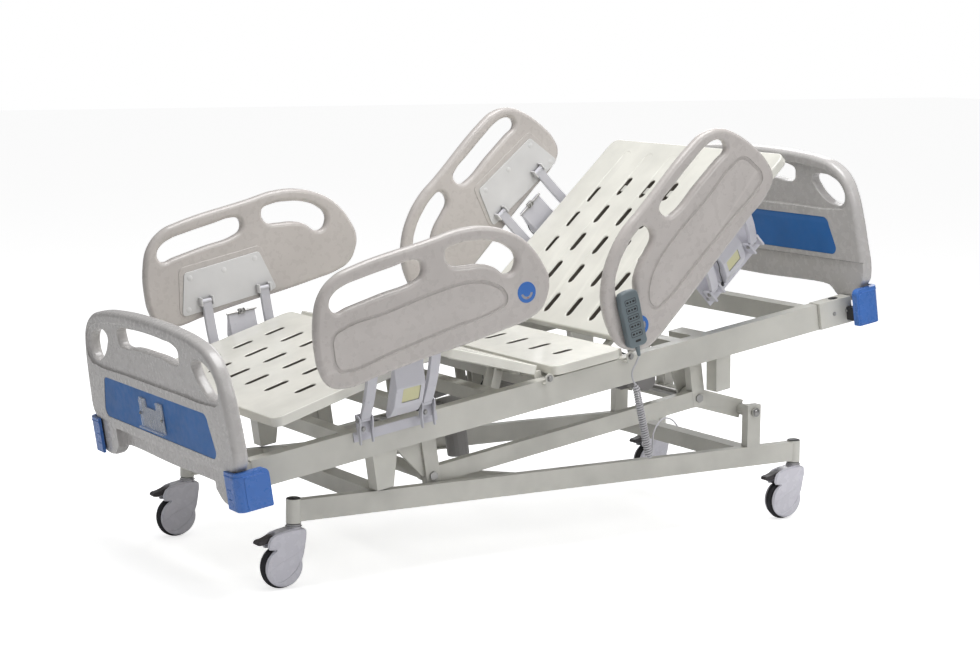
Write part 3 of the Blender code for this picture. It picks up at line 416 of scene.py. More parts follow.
def capsule(centre, length, width, steps=8):
    """The outline of a round-ended slot along the first axis."""
    reach = length / 2 - width / 2
    return (arc((centre[0] + reach, centre[1]), width / 2, -90, 90, steps)
        + arc((centre[0] - reach, centre[1]), width / 2, 90, 270, steps))


def rounded(x, y, radius, steps=6):
    """The outline of a rounded rectangle."""
    left, right, low, high = x[0] + radius, x[1] - radius, y[0] + radius, y[1] - radius
    corners = ((right, low), (right, high), (left, high), (left, low))
    return [point for i, corner in enumerate(corners)
        for point in arc(corner, radius, 90 * i - 90, 90 * i, steps)]


def mirrored(half):
    """A closed outline from half of one whose ends lie on the middle line."""
    return half + [(-x, y) for x, y in reversed(half[1:-1])]


def side_on(matrix, x=0, y=0, z=0):
    """Axes at a place whose x runs along the bed and whose y is up."""
    return matrix @ Matrix(((1, 0, 0, x), (0, 0, -1, y), (0, 1, 0, z), (0, 0, 0, 1)))


def end_on(matrix, x):
    """Axes at a place along the bed, their x across it and their y up."""
    return matrix @ Matrix(((0, 0, 1, x), (1, 0, 0, 0), (0, 1, 0, 0), (0, 0, 0, 1)))


def crosswise(matrix, x, y, z):
    """Axes at a place whose z runs along the bed."""
    return moved(matrix, x, y, z) @ Matrix.Rotation(math.pi / 2, 4, "Y")


def facing(matrix, place, way):
    """Axes at a place whose z points the given way."""
    turn = Vector((0, 0, 1)).rotation_difference(Vector(way)).to_matrix().to_4x4()
    return matrix @ Matrix.Translation(place) @ turn


def hex_bolt(matrix, place, way, radius, tall):
    """A washer, a hexagon head and a rounded crown."""
    at = facing(matrix, place, way)
    washer = lathe([(radius * 1.25, 0), (radius * 1.25, 0.001), (radius * 1.15, 0.0015)], at, 24)
    head = lathe([(radius, 0.0015), (radius, tall), (radius * 0.86, tall + 0.0012)], at, 6)
    return [washer, head]


def dome_bolt(matrix, place, way, radius):
    """A washer with a domed head."""
    at = facing(matrix, place, way)
    return [lathe([(radius * 1.3, 0), (radius * 1.3, 0.0012), (radius * 1.2, 0.0016)], at, 24),
        lathe([(radius * 0.95, 0.0016), (radius * 0.9, 0.0035), (radius * 0.6, 0.0052), (0, 0.006)], at,
        24)]


# ---- CAD nodes that stay
DRIVES = ("head", "foot", "back", "knee")
# finish, then each node with the width that softens its edges
KEPT = {
    "powder_coat": (("base_frame", 0.003), ("bed_frame", 0.0025), ("head_crank", 0.002),
                    ("foot_crank", 0.002), ("back_frame", 0.0015), ("thigh_frame", 0.0015)),
    "zinc": (("head_pivot_shaft", 0.0008), ("foot_pivot_shaft", 0.0008))
            + tuple((drive + "_lift_rod", 0.001) for drive in DRIVES),
    "actuator_grey": (("control_box", 0.0015),)
                     + tuple((drive + "_lift_motor", 0.002) for drive in DRIVES),
    "clear_plastic": (("card_holder", 0.0005),),
    "lever_grey": (("head_near_rail_bracket", 0.0012), ("head_far_rail_bracket", 0.0012)),
}


def keep_nodes():
    """CAD nodes whose shape is right get softened edges and their finish."""
    for finish_name, nodes in KEPT.items():
        for name, width in nodes:
            node = NODES[name]
            node.data.materials.clear()
            node.data.materials.append(finish(finish_name))
            shade(node, width)


# ---- deck
DECK_HALF = 0.45
DECK_LOW = 0.001
DECK_TOP = 0.029
SKIN = 0.016
WALL = 0.01
SLOT_WIDE = 0.025
# columns of slots, their pitch along the bed and their length
INNER = ((-0.187, -0.0625, 0.0625, 0.187), 0.1233, 0.077)
OUTER = ((-0.311, 0.311), 0.1115, 0.066)


def deck_board(name, matrix, body, x, inner, outer, lip, grooved=False):
    """A moulded board with rounded rims, lipped slots and shallow grooves between them; dark rings down
    the slots are painted shade.

    inner and outer say where the first slot of a column is, and how many there are.
    """
    top = DECK_TOP - lip * 0.8
    # dark rings down each slot's wall are painted shade, not a part of the board
    painted_shade_at = moved(matrix, z=(top + DECK_LOW) / 2)
    outlines = [rounded((x[0] + lip, x[1] - lip), (-DECK_HALF + lip, DECK_HALF - lip), 0.026)]
    painted_shade_pieces = []
    cuts = []
    for (first, count), (columns, pitch, length) in ((inner, INNER), (outer, OUTER)):
        for v in columns:
            for i in range(count):
                centre = (first + pitch * i, v)
                outlines.append(capsule(centre, length + 2 * lip, SLOT_WIDE + 2 * lip))
                ring = [capsule(centre, length + more, SLOT_WIDE + more) for more in (0.0006, -0.0014)]
                painted_shade_pieces.append(sheet(ring, top - DECK_LOW, painted_shade_at))
            if grooved:
                groove = capsule(((x[0] + x[1]) / 2, v), x[1] - x[0] - 0.1, 0.034, 6)
                cuts.append(sheet([groove], 0.0028, moved(matrix, z=DECK_TOP + 0.0006), 0.0013))
    middle = moved(matrix, z=(DECK_LOW + DECK_TOP) / 2)
    board = sheet(outlines, DECK_TOP - DECK_LOW, middle, lip, 4)
    hollow = rounded((x[0] + WALL, x[1] - WALL), (-DECK_HALF + WALL, DECK_HALF - WALL), 0.02)
    cuts.append(sheet([hollow], 0.04, moved(matrix, z=DECK_TOP - SKIN - 0.02)))
    show(name + "_moulded", fused([board] + cuts, "DIFFERENCE"), "deck_plastic", body, [name])
    # the slot rings get the near-black finish of painted shade
    show(name + "_slot_painted_shade_pieces", painted_shade_pieces, "painted_slot_shade", body)


def build_deck():
    """The four deck boards."""
    deck_board("back_panel", BACK, "back", (0.035, 0.803), (0.113, 5), (0.224, 4), 0.005, True)
    middle = (KNEE_X + HIP_X) / 2
    deck_board("seat_panel", SEAT, "bed", (0.964, 1.205), (middle, 1), (middle, 1), 0.0036)
    deck_board("thigh_panel", THIGH, "thigh", (-0.362, -0.035), (-0.26, 2), (-0.255, 2), 0.0036)
    deck_board("leg_panel", LEG, "leg", (-0.527, -0.008), (-0.3855, 3), (-0.3575, 3), 0.0036)


# ---- end boards
FOOTBOARD_U = -0.055
HEADBOARD_U = 2.105
BOARD_T = 0.045
BOARD_ROUND = 0.0155
CAD_BOARD_ROUND = 0.011
LEDGE = 0.0766


def board_outline(skirt, legs, notch):
    """An end board's edge in (v, h), narrower below the notch, between the bumpers."""
    half = [(0, skirt), (0.33, skirt), (0.35, skirt - 0.01), (0.372, legs + 0.008), (0.392, legs),
        (0.445, legs), (0.468, legs + 0.012), (0.474, notch - 0.01), (0.489, notch + 0.012), (0.488, 0.16),
        (0.482, 0.22), (0.468, 0.296), (0.445, 0.347), (0.395, 0.385), (0.33, 0.402), (0.2, 0.416),
        (0, 0.422)]
    return mirrored(half)


GRIP = mirrored(mm((0, 322), (100, 321), (180, 314), (212, 322), (224, 350), (222, 374), (195, 389),
    (110, 397), (0, 400)))
OPENING = mm((300, 362), (345, 370), (397, 360), (438, 332), (453, 285), (432, 254), (385, 251),
    (337, 273), (299, 310), (285, 342))
FIELD = mirrored(mm((0, 250), (200, 250), (400, 251), (440, 258), (456, 285), (441, 332), (398, 363),
    (345, 374), (270, 383), (195, 390), (110, 397), (0, 400)))


def inset(shrink):
    """The coloured panel's outline: a trapezoid with rounded corners."""
    r = 0.024
    half = (arc((0.389 - shrink - r, 0.093 + shrink + r), r, -90, 0, 6)
        + arc((0.364 - shrink - r, 0.217 - shrink - r), r, 0, 90, 6))
    return half + [(-v, h) for v, h in reversed(half)]


def board_at(u, rise, squash):
    """Upright axes of an end board, x across the bed and y up."""
    return BED @ Matrix(((0, 0, 1, u), (1, 0, 0, 0), (0, squash, 0, rise), (0, 0, 0, 1)))


def build_board(name, u, rise, squash, outline):
    """A blow-moulded board: fat rounded rim, sunk field, ledge line and blue panel."""
    face = u - BOARD_T / 2
    ledge = rise + squash * LEDGE
    front, middle, rear = (board_at(x, rise, squash) for x in (face, u, u + BOARD_T / 2))
    openings = [GRIP, OPENING, [(-v, h) for v, h in reversed(OPENING)]]
    body = sheet([outline] + openings, BOARD_T, middle, BOARD_ROUND, 5, True, 6,
        CAD_BOARD_ROUND - BOARD_ROUND)
    cuts = [sheet([FIELD], 0.014, at, 0.006, 3, True, 5) for at in (front, rear)]
    cuts += [sheet([inset(0.0012)], 0.005, front, 0.0012, 2), sheet([inset(0)], 0.003, rear, 0.001, 2),
        block((face - 0.01, face + 0.0048), (-0.6, 0.6), (rise - 0.2, ledge), BED, 0.0024),
        block((face - 0.01, face + 0.0085), (-0.6, 0.6), (ledge - 0.0024, ledge - 0.0002), BED, 0.0002)]
    if rise == 0:
        cuts.append(block((face - 0.01, face + 0.028), (-0.342, 0.342), (-0.1, 0.06), BED, 0.01, 4))
    body = fused([body] + cuts, "DIFFERENCE")
    show(name + "_moulded", body, "board_plastic", "bed", [name])
    panel = sheet([inset(0.0008)], 0.0012, board_at(face + 0.0018, rise, squash), 0.0004, 1)
    show(name + "_blue_panel", panel, "blue_panel", "bed", [name + "_panel"])


def build_card_holder():
    """Screws, folded lips and the finger tab of the clear card holder."""
    face = FOOTBOARD_U - BOARD_T / 2
    screws = []
    for v in (-0.056, 0.094):
        screws += dome_bolt(BED, (face - 0.0045, v, 0.15), (-1, 0, 0), 0.0042)
    show("card_holder_screws", screws, "zinc", "bed")
    lips = [block((face - 0.0062, face - 0.0046), (v, v + 0.004), (0.112, 0.19), BED, 0.0006)
        for v in (-0.06, 0.094)]
    tab = mm((8, 116), (8, 138), (30, 138), (30, 116))
    lips.append(tube([(face - 0.0056, v, h) for v, h in tab], 0.001, BED, False, 2))
    show("card_holder_lips", lips, "clear_plastic", "bed")


# ---- bumpers
BUMPER_V = 0.51
BUMPER_R = 0.025


def bumper_plan(outer_u, inward, back_u, side):
    """A bumper's L-shaped plan in (u, v): its outer edge first, then its inner wall."""
    steps = 8
    edge = [(outer_u, 0.44)]
    edge += [(outer_u + inward * BUMPER_R * (1 - math.cos(math.pi / 2 * i / steps)),
        BUMPER_V - BUMPER_R + BUMPER_R * math.sin(math.pi / 2 * i / steps)) for i in range(steps + 1)]
    edge.append((back_u, BUMPER_V))
    face = outer_u + inward * 0.0092
    wall = [(back_u, BUMPER_V - 0.022), (face, BUMPER_V - 0.022), (face, 0.44)]
    return [(x, side * y) for x, y in edge], [(x, side * y) for x, y in wall]


def side_outline(front, back, low, high, tight, wide):
    """A rectangle in (u, h) whose upper back corner has the wide radius."""
    way = math.copysign(1, back - front)
    corners = (((back, high), (-way, -1), wide, 0), ((front, high), (way, -1), tight, 90),
        ((front, low), (way, 1), tight, 180), ((back, low), (-way, 1), tight, 270))
    outline = []
    for (u, h), (du, dh), r, first in corners:
        for x, y in arc((0, 0), r, first, first + 90, 6):
            outline.append((u + du * r + way * x, h + dh * r + y))
    return outline


def build_bumper(name, side, outer_u, inward, h, back_u):
    """A corner bumper: a rounded cup with a lip line, ribs and a raised side panel."""
    edge, wall = bumper_plan(outer_u, inward, back_u, side)
    cup = sheet([edge + wall], h[1] - h[0], moved(BED, z=(h[0] + h[1]) / 2))
    trim = sheet([side_outline(outer_u - inward * 0.001, back_u, *h, 0.004, 0.018)], 0.12,
        side_on(BED, y=side * 0.47))
    cup = fused([cup, trim], "INTERSECT")
    show(name + "_moulded", cup, "blue_bumper", "bed", [name], 0.0026)
    panel = side_outline(outer_u + inward * (BUMPER_R + 0.001), back_u - inward * 0.007, h[0] + 0.007,
        h[1] - 0.014, 0.005, 0.013)
    lip_h = h[1] - 0.011
    lip = [(x, y + side * 0.0001, lip_h) for x, y in edge[:-1]]
    lip.append((back_u - inward * 0.02, side * BUMPER_V, lip_h))
    details = [sheet([panel], 0.004, side_on(BED, y=side * BUMPER_V), 0.0017),
        tube(lip, 0.0018, BED, False, 2)]
    for share in (0.28, 0.54):
        level = h[0] + (h[1] - h[0]) * share
        rib = [(outer_u, side * v, level) for v in (0.446, 0.468)]
        details.append(tube(rib, 0.0015, BED, False, 2))
    show(name + "_details", details, "blue_bumper", "bed")
    tab = block(sorted((back_u - inward * 0.012, back_u - inward * 0.036)),
        sorted((side * (0.4305 if inward > 0 else 0.4405), side * 0.492)), (0.01, 0.052), BED)
    show(name + "_tab", tab, "black_plastic", "bed")


# ---- side rails
RAIL_T = 0.032
RAIL_TALL = 0.347
RAIL_ROUND = 0.0135
CAD_RAIL_ROUND = 0.009
ARM_LEN = 0.2233
ARM_SPACING = 0.196
PIVOT_V = 0.462
FOOT_LEN = 0.715
ARMS_AT = (-ARM_SPACING / 2, ARM_SPACING / 2)
ARM_HALF = 0.0155
RAIL_OUT = 0.031
# outward lean of the arms on the near side (-1) and the far side (1)
LEAN = {-1: math.radians(27.9), 1: math.radians(6.45)}
# middle, middle of the arms, height of the lower pivots, way along the bed, length,
# how far its lower edge is below the upper pivots, turn
RAILS = {"foot": (0.52, 0.433, 0.118, 1, FOOT_LEN, 0.07, 0),
         "head": (0.29, 0.4345, -0.0725, -1, 0.7, 0.089, math.radians(-8.0))}


def rail_outline(length):
    """A side rail's edge: x from its square end to its round end, y up."""
    tall = RAIL_TALL
    return [(0.05, 0.017), (0.17, 0.027), (0.3, 0.04), (length - 0.265, 0.051), (length - 0.16, 0.062),
        (length - 0.075, 0.074), (length - 0.035, 0.091), (length - 0.012, 0.12), (length, 0.16),
        (length - 0.012, 0.205), (length - 0.058, 0.276), (length - 0.104, 0.31), (length - 0.16, 0.334),
        (length - 0.247, tall), (0.366, tall - 0.01), (0.12, tall - 0.036), (0.076, tall - 0.048),
        (0.03, 0.262), (0.007, 0.207), (-0.003, 0.114), (0.002, 0.068), (0.02, 0.03)]


LONG_SLOT = mm((58, 203), (39, 220), (38, 245), (56, 268), (90, 284), (150, 294), (240, 304), (305, 310),
    (332, 302), (342, 280), (334, 252), (310, 238), (200, 223), (100, 209))
ARCH = mm((398, 297), (408, 316), (440, 325), (500, 324), (560, 311), (607, 286), (633, 252), (629, 218),
    (608, 198), (578, 199), (545, 226), (508, 240), (455, 246), (420, 253), (402, 272))


def recess(length, inner):
    """The sunk field of a rail's outer face; inner draws it in."""
    cut = FOOT_LEN - length
    points = [(0.05, 0.052), (0.22, 0.07), (0.4, 0.094), (0.55 - cut, 0.116), (0.577 - cut, 0.13),
        (0.578 - cut, 0.156), (0.54 - cut, 0.192), (0.475 - cut, 0.212), (0.4 - cut, 0.212), (0.2, 0.187),
        (0.06, 0.168), (0.035, 0.152), (0.028, 0.105), (0.034, 0.066)]
    middle = (0.3, 0.13)
    drawn = []
    for x, y in points:
        way = Vector((x - middle[0], (y - middle[1]) * 3.2))
        drawn.append((x - inner * way.x / way.length, y - inner * 0.85 * way.y / way.length))
    return drawn


def build_rail(end, side_name, side):
    """One moulded rail with its inner plate, angle indicator, arms and latch box."""
    name = "%s_%s_rail" % (end, side_name)
    section = BED if end == "foot" else BACK
    mid, arms_mid, pivot_h, flip, length, drop, turn = RAILS[end]
    low = Vector((arms_mid, side * PIVOT_V, pivot_h))
    top = low + ARM_LEN * Vector((0, side * math.sin(LEAN[side]), math.cos(LEAN[side])))
    v = top.y + side * RAIL_OUT
    cut = FOOT_LEN - length

    def at(depth):
        """The rail's own axes, a distance outboard of its middle plane."""
        axes = Matrix(((flip, 0, 0, mid - flip * length / 2), (0, 0, 1, v + side * depth),
            (0, 1, 0, top.z - drop), (0, 0, 0, 1)))
        centre = Matrix.Translation((length / 2, RAIL_TALL / 2, 0))
        return section @ axes @ centre @ Matrix.Rotation(turn, 4, "Z") @ centre.inverted()

    arch = [(x - cut, y) for x, y in ARCH]
    shell = sheet([rail_outline(length), LONG_SLOT, arch], RAIL_T, at(0), RAIL_ROUND, 5, True, 6,
        CAD_RAIL_ROUND - RAIL_ROUND)
    moat = [recess(length, 0.004), recess(length, 0.008)]
    cuts = [sheet(moat, 0.0084, at(RAIL_T / 2), 0.0036, 4, True, 6),
        sheet([recess(length, 0.006)], 0.003, at(RAIL_T / 2), 0.0004, 1, True, 6)]
    shell = fused([shell] + cuts, "DIFFERENCE")
    show(name + "_moulded", shell, "rail_plastic", name, [name + "_panel"])
    build_indicator(name, at, length)
    build_inner_plate(name, section, side, arms_mid, top, v, flip)
    arms = arm_axes(section, side, low, top)
    build_arms(name, arms)
    build_latch(name, arms, side)
    if end == "foot":
        build_bracket(name, side, arms_mid)


def build_indicator(name, at, length):
    """Blue angle indicator: a disc with a U-shaped track and a small red ball."""
    centre = (length - 0.074, 0.143)
    outer = RAIL_T / 2
    disc = sheet([arc(centre, 0.0285, 0, 350, 35)], 0.0026, at(outer - 0.0004), 0.0009)
    track = arc(centre, 0.0195, 190, 350, 16) + arc(centre, 0.012, 350, 190, 16)
    disc = fused([disc, sheet([track], 0.002, at(outer + 0.001))], "DIFFERENCE")
    show(name + "_indicator", disc, "indicator_blue", name)
    show(name + "_indicator_track", sheet([track], 0.0004, at(outer + 0.0001)), "indicator_grey", name)
    low_point = at(outer - 0.0006) @ Vector((centre[0] + 0.002, centre[1] - 0.0157, 0))
    ball = lathe(mm((0, -2), (1.2, -1.6), (2, -0.6), (2, 0.6), (1.2, 1.6), (0, 2)),
        Matrix.Translation(low_point), 16)
    show(name + "_indicator_ball", ball, "red_ball", name)


def build_inner_plate(name, section, side, arms_mid, top, v, flip):
    """Grey plate on the rail's inner face, with round caps and the arms' ears."""
    inner = v - side * RAIL_T / 2
    plane = side_on(section, arms_mid, inner - side * 0.0022, top.z)

    def plate(corners, radius, thickness, at, bevel):
        outline = [(flip * x, z) for x, z in round_corners(corners, radius)]
        return sheet([outline], thickness, at, bevel)

    pad = plate(mm((-186, -37), (158, -14), (112, 130), (-166, 113)), 0.022, 0.0036,
        moved(plane, z=-side * 0.0022), 0.0014)
    show(name + "_pad", pad, "rail_plastic", name)
    shapes = [plate(mm((-178, -35), (146, -13), (103, 112), (-152, 95)), 0.012, 0.0052, plane, 0.0012)]
    for x, z in mm((-156, -18), (126, 4), (-137, 78), (86, 94), (-22, 80)):
        place = (arms_mid + flip * x, inner - side * 0.0045, top.z + z)
        shapes.append(lathe(mm((8.5, -2), (8.5, 0.3), (7.5, 1), (0, 1.4)),
            facing(section, place, (0, -side, 0)), 20))
    reach = sorted((inner + side * 0.001, top.y - side * 0.01))
    for x in ARMS_AT:
        for ear in (-0.019, 0.019):
            middle = arms_mid + x + ear
            shapes.append(block((middle - 0.003, middle + 0.003), reach, (top.z - 0.014, top.z + 0.014),
                section, 0.0025))
    show(name + "_plate", shapes, "plate_grey", name)


def swept(profile, across, matrix, radius, segments=2):
    """A closed (y, z) profile extruded along x between two places, its edges rounded."""
    bm = bmesh.new()
    first, last = ([bm.verts.new((x, y, z)) for y, z in profile] for x in across)
    count = len(profile)
    for i in range(count):
        after = (i + 1) % count
        bm.faces.new((first[i], first[after], last[after], last[i]))
    bm.faces.new(list(reversed(first)))
    bm.faces.new(last)
    bmesh.ops.recalc_face_normals(bm, faces=bm.faces)
    edges = [e for e in bm.edges if e.calc_face_angle(0) > math.radians(25)]
    bmesh.ops.bevel(bm, geom=edges, offset=radius, segments=segments, profile=0.5, affect="EDGES")
    return from_bmesh(bm, matrix)


def arm_axes(section, side, low, top):
    """Axes at the lower pivot: x along the bed, y outboard, z along the arms."""
    along = (top - low).normalized()
    out = Vector((0, side * along.z, -side * along.y)).normalized()
    return section @ Matrix(((1, 0, 0, low.x), (0, out.y, along.y, low.y), (0, out.z, along.z, low.z),
        (0, 0, 0, 1)))


def arm_profile():
    """An arm's bowed side in (y, z), its outboard edge first."""
    steps = 12
    front = []
    back = []
    for i in range(steps + 1):
        share = i / steps
        z = 0.004 + (ARM_LEN - 0.006) * share
        bow = 0.01 * math.sin(math.pi * share) ** 0.8
        front.append((0.0065 + bow, z))
        back.append((-0.005 + bow * 0.6, z))
    return front + back[::-1]


def build_arms(name, at):
    """Two bowed arms with round ends, and their pins."""
    shapes = []
    pins = []
    for x in ARMS_AT:
        shapes.append(swept(arm_profile(), (x - ARM_HALF, x + ARM_HALF), at, 0.003))
        for z in (0, ARM_LEN):
            shapes.append(rod(0.0072, ARM_HALF, crosswise(at, x, 0, z)))
        pins.append(rod(0.0042, 0.0235, crosswise(at, x, 0, 0), 16))
        for way in SIDES:
            pins += dome_bolt(at, (x + way * 0.0222, 0, 0), (way, 0, 0), 0.0052)
    show(name + "_arm_covers", shapes, "lever_grey", name + "_arms", [name + "_arms"])
    show(name + "_arm_pins", pins, "zinc", name + "_arms")


def build_latch(name, at, side):
    """Deep latch box between the arms, with a recessed blank label and a release wire."""
    way = -1 if name.startswith("head") else 1
    middle = way * (0.016 if side < 0 else 0.006)
    half = 0.046
    profile = mm((-4, -6), (6, -14), (20, 2), (32, 36), (34, 44), (34, 106), (30, 114), (12, 150),
        (6, 172), (-4, 172))
    box = swept(profile, (middle - half, middle + half), at, 0.0028, 3)
    label_x = middle + way * 0.004
    cut = sheet([rounded((-0.028, 0.028), (0.053, 0.102), 0.003, 3)], 0.007, side_on(at, label_x, 0.034))
    show(name + "_latch_box", fused([box, cut], "DIFFERENCE"), "lever_grey", name + "_arms",
        [name + "_latch"])
    label = sheet([rounded((-0.0275, 0.0275), (0.0535, 0.1015), 0.003, 3)], 0.001,
        side_on(at, label_x, 0.0312))
    show(name + "_latch_label", label, "label", name + "_arms")
    shapes = [rod(0.0034, half + 0.005, crosswise(at, middle, -0.005, 0.169), 16),
        block((middle - 0.011, middle + 0.011), (-0.01, 0), (0.161, 0.178), at, 0.0015)]
    for x in (middle - 0.006, middle + 0.005):
        shapes.append(tube([(x, -0.01, 0.179), (x + 0.004, -0.013, 0.171), (x - 0.002, -0.01, 0.163)],
            0.0012, at))
    show(name + "_latch_rod", shapes, "zinc", name + "_arms")
    edge = middle + way * (half + 0.0025)
    path = mm((0, 14, 118), (3, 20, 104), (4, 16, 70), (2, 12, 30), (0, 8, -4))
    wire = [tube([(edge + way * x, y, z) for x, y, z in path], 0.0015, at),
        lathe(mm((3.8, -7), (5, -2), (5, 3), (2.6, 8)), moved(at, edge + way * 0.002, 0.008, -0.006), 18)]
    show(name + "_latch_wire", wire, "black_plastic", name + "_arms")


def build_bracket(name, side, arms_mid):
    """Folded steel bracket that carries the rail's lower pivots beside the bed frame."""
    def plate(low, high, v, h):
        return block((low, high), sorted((side * v[0], side * v[1])), h, BED, 0.001)

    ear = mm((452.5, 50), (452.5, 131), (466, 131), (474, 125), (474, 108), (464, 84), (462, 52),
        (459, 49))
    ear = [(side * v, h) for v, h in ear]
    shapes = [block((arms_mid - 0.124, arms_mid + 0.142), sorted((side * 0.4293, side * 0.4333)),
        (0.052, 0.0795), BED, 0.0012)]
    bolts = []
    for middle in (arms_mid + ARMS_AT[0], arms_mid + ARMS_AT[1]):
        low, high = middle - 0.0235, middle + 0.0235
        shapes.append(plate(low, high, (0.43, 0.4545), (0.076, 0.0795)))
        shapes.append(plate(low, high, (0.4515, 0.454), (0.0765, 0.134)))
        bolts += hex_bolt(BED, (middle - 0.004, side * 0.454, 0.09), (0, side, 0), 0.0058, 0.0028)
        for x in (middle - 0.0195, middle + 0.0195):
            shapes.append(sheet([ear], 0.0042, end_on(BED, x), 0.001, 2))
    show(name + "_bracket_steel", shapes, "lever_grey", "bed", [name + "_bracket"])
    show(name + "_bracket_bolts", bolts, "zinc", "bed")


# ---- casters
TRAIL = 0.038
WHEEL_R = 0.0625


def build_caster(end, side_name, x, v):
    """Swivel housing with swirled cheeks, a wheel with a moulded hub, and the brake pedal."""
    name = "%s_%s_caster" % (end, side_name)
    at = moved(WORLD, x, v)
    upright = at @ Matrix.Rotation(math.pi / 2, 4, "X")
    cheek = (arc((-TRAIL, WHEEL_R), 0.053, 110, 375, 36)
        + mm((19, 92), (24, 120), (27.5, 148), (26.5, 157.5), (22, 161), (0, 163.5), (-40, 159.5),
        (-64, 153.5), (-77, 145.5), (-83.5, 133), (-83.5, 122), (-80, 116.5), (-70, 115)))
    hood = mm((23.5, 134), (26.2, 150), (25, 158), (16, 161), (-10, 163), (-30, 160), (-46, 155),
        (-52, 148), (-52, 138), (-47, 134.5), (-30, 134), (0, 133))
    axle = moved(upright, -TRAIL, WHEEL_R)
    shapes = [sheet([cheek], 0.0072, moved(upright, z=way * 0.0178), 0.0028) for way in SIDES]
    shapes.append(sheet([hood], 0.042, upright, 0.004, 3, True, 3))
    shapes.append(lathe(mm((20.5, 150), (20.5, 170.5), (18.5, 173.5), (11.7, 174), (11.7, 233)), at, 32))
    shapes.append(rod(0.005, 0.018, axle))
    show(name + "_housing_moulded", fused(shapes), "caster_plastic", name, [name + "_housing"])
    swirls = []
    wing = mm((-80, 119), (-82.5, 128), (-79, 139), (-69, 149.5), (-40, 158), (0, 162), (22, 159.5),
        (26.2, 150), (22.5, 124), (8, 106), (-22, 89), (-52, 76), (-78, 60), (-87.5, 56), (-88.5, 70),
        (-83, 88), (-70, 104), (-60, 112), (-69, 116.5))
    crescent = (arc((-TRAIL, WHEEL_R), 0.0512, -125, 12, 14) + mm((5, 62), (-8, 44), (-28, 30), (-52, 20)))
    for way in SIDES:
        cheek_at = moved(upright, z=way * 0.0214)
        for outline, thick in ((wing, 0.0056), (crescent, 0.0036)):
            swirls.append(sheet([outline], thick, cheek_at, 0.0017, 3, True, 3, -0.0006))
    show(name + "_swirl", swirls, "caster_plastic", name)
    washers = (mm((18.5, 169), (23.2, 169.7), (23.2, 171.2), (18.5, 171.9)),
        mm((15, 173.5), (20, 174.2), (20, 176.2), (15, 176.9)))
    show(name + "_washers", [lathe(washer, at, 36) for washer in washers], "zinc", name)
    build_wheel(name, axle)
    build_pedal(name, upright)


def build_wheel(name, axle):
    """Tyre with a rounded tread over a moulded hub with a ring and a cap."""
    half = 0.012

    def turned_pair(side, steps):
        """A lathe whose profile is the same on both sides of the wheel."""
        return lathe([(r, -z) for r, z in side] + [(r, z) for r, z in reversed(side)], axle, steps)

    tyre = turned_pair([(0.044, half - 0.002), (0.0455, half - 0.001), (0.053, half),
        (0.0575, half * 0.86), (0.061, half * 0.55), (WHEEL_R, half * 0.16)], 56)
    show(name + "_tyre", tyre, "tyre_rubber", name + "_wheel", [name + "_wheel"])
    hub = turned_pair([(0.0055, half - 0.0012), (0.013, half - 0.0006), (0.015, half - 0.003),
        (0.038, half - 0.0034), (0.0405, half - 0.0012), (0.0446, half - 0.0014)], 48)
    show(name + "_hub", hub, "actuator_grey", name + "_wheel")


def build_pedal(name, upright):
    """Brake pedal with a ribbed tread."""
    at = moved(upright, -0.066, 0.142)
    outline = mm((4, 4), (2, -3), (-22, -9), (-44, -11.5), (-48.5, -8.5), (-30, -0.5))
    shapes = [sheet([outline], 0.029, at, 0.0022, 3, True, 4), rod(0.0062, 0.0165, at)]
    for i in range(5):
        rib = moved(at, -0.018 - 0.0055 * i, -0.0005 - 0.0018 * i)
        shapes.append(rod(0.001, 0.012, rib, 8))
    show(name + "_tread", shapes, "pedal_plastic", name + "_pedal", [name + "_pedal"])


# ---- handset and cable
HANDSET_HALF = 0.0825
HANDSET_FRONT = -0.0116
KEY_ROWS = 5
KEY_PITCH = 0.0235
COIL_TURNS = 32
COIL_STEPS = 12


def build_handset():
    """Hand control with rows of blank keys, hung on the near head rail."""
    out = PIVOT_V + ARM_LEN * math.sin(LEAN[-1]) + RAIL_OUT + RAIL_T / 2 + 0.0123
    at = moved(WORLD, 0.927, -out, 0.716) @ Matrix.Rotation(math.radians(-15), 4, "Y")
    half = mm((0, -76.5), (25, -74.5), (26.5, -60), (27.2, 0), (27, 60), (24, 72.5), (12, 76))
    outline = half + [(-x, z) for x, z in reversed(half[1:])]
    body = sheet([outline], 0.0236, side_on(at), 0.005, 5, True, 5)
    neck = lathe(mm((4.5, -112), (5.8, -100), (7.2, -86), (8.5, -74)), at, 24)
    show("handset_body", fused([body, neck]), "handset_plastic", "head_near_rail", ["handset"])
    build_keys(side_on(at, y=HANDSET_FRONT))
    build_cable(at @ Vector((0, 0, -HANDSET_HALF - 0.0325)))


def build_keys(plane):
    """Rows of three blank keys inside raised rims, and a wide key below them."""
    def slab(x, z, wide, tall, radius, steps=3):
        return rounded((x - wide, x + wide), (z - tall, z + tall), radius, steps)

    rims = []
    keys = []
    for row in range(KEY_ROWS):
        z = 0.05 - row * KEY_PITCH
        rim = [slab(0, z, 0.019, 0.0085, 0.0035, 4), slab(0, z, 0.0178, 0.0073, 0.0028, 4)]
        rims.append(sheet(rim, 0.0016, plane, 0.0003, 1))
        for x in (-0.0105, 0, 0.0105):
            key = slab(x, z, 0.0036 if x else 0.0022, 0.0024, 0.0011)
            keys.append(sheet([key], 0.0018, plane, 0.0004, 1))
    keys.append(sheet([slab(0, -0.065, 0.009, 0.003, 0.002)], 0.0012, plane, 0.0003, 1))
    show("handset_key_rims", rims, "key_plastic", "head_near_rail")
    show("handset_keys", keys, "black_plastic", "head_near_rail")


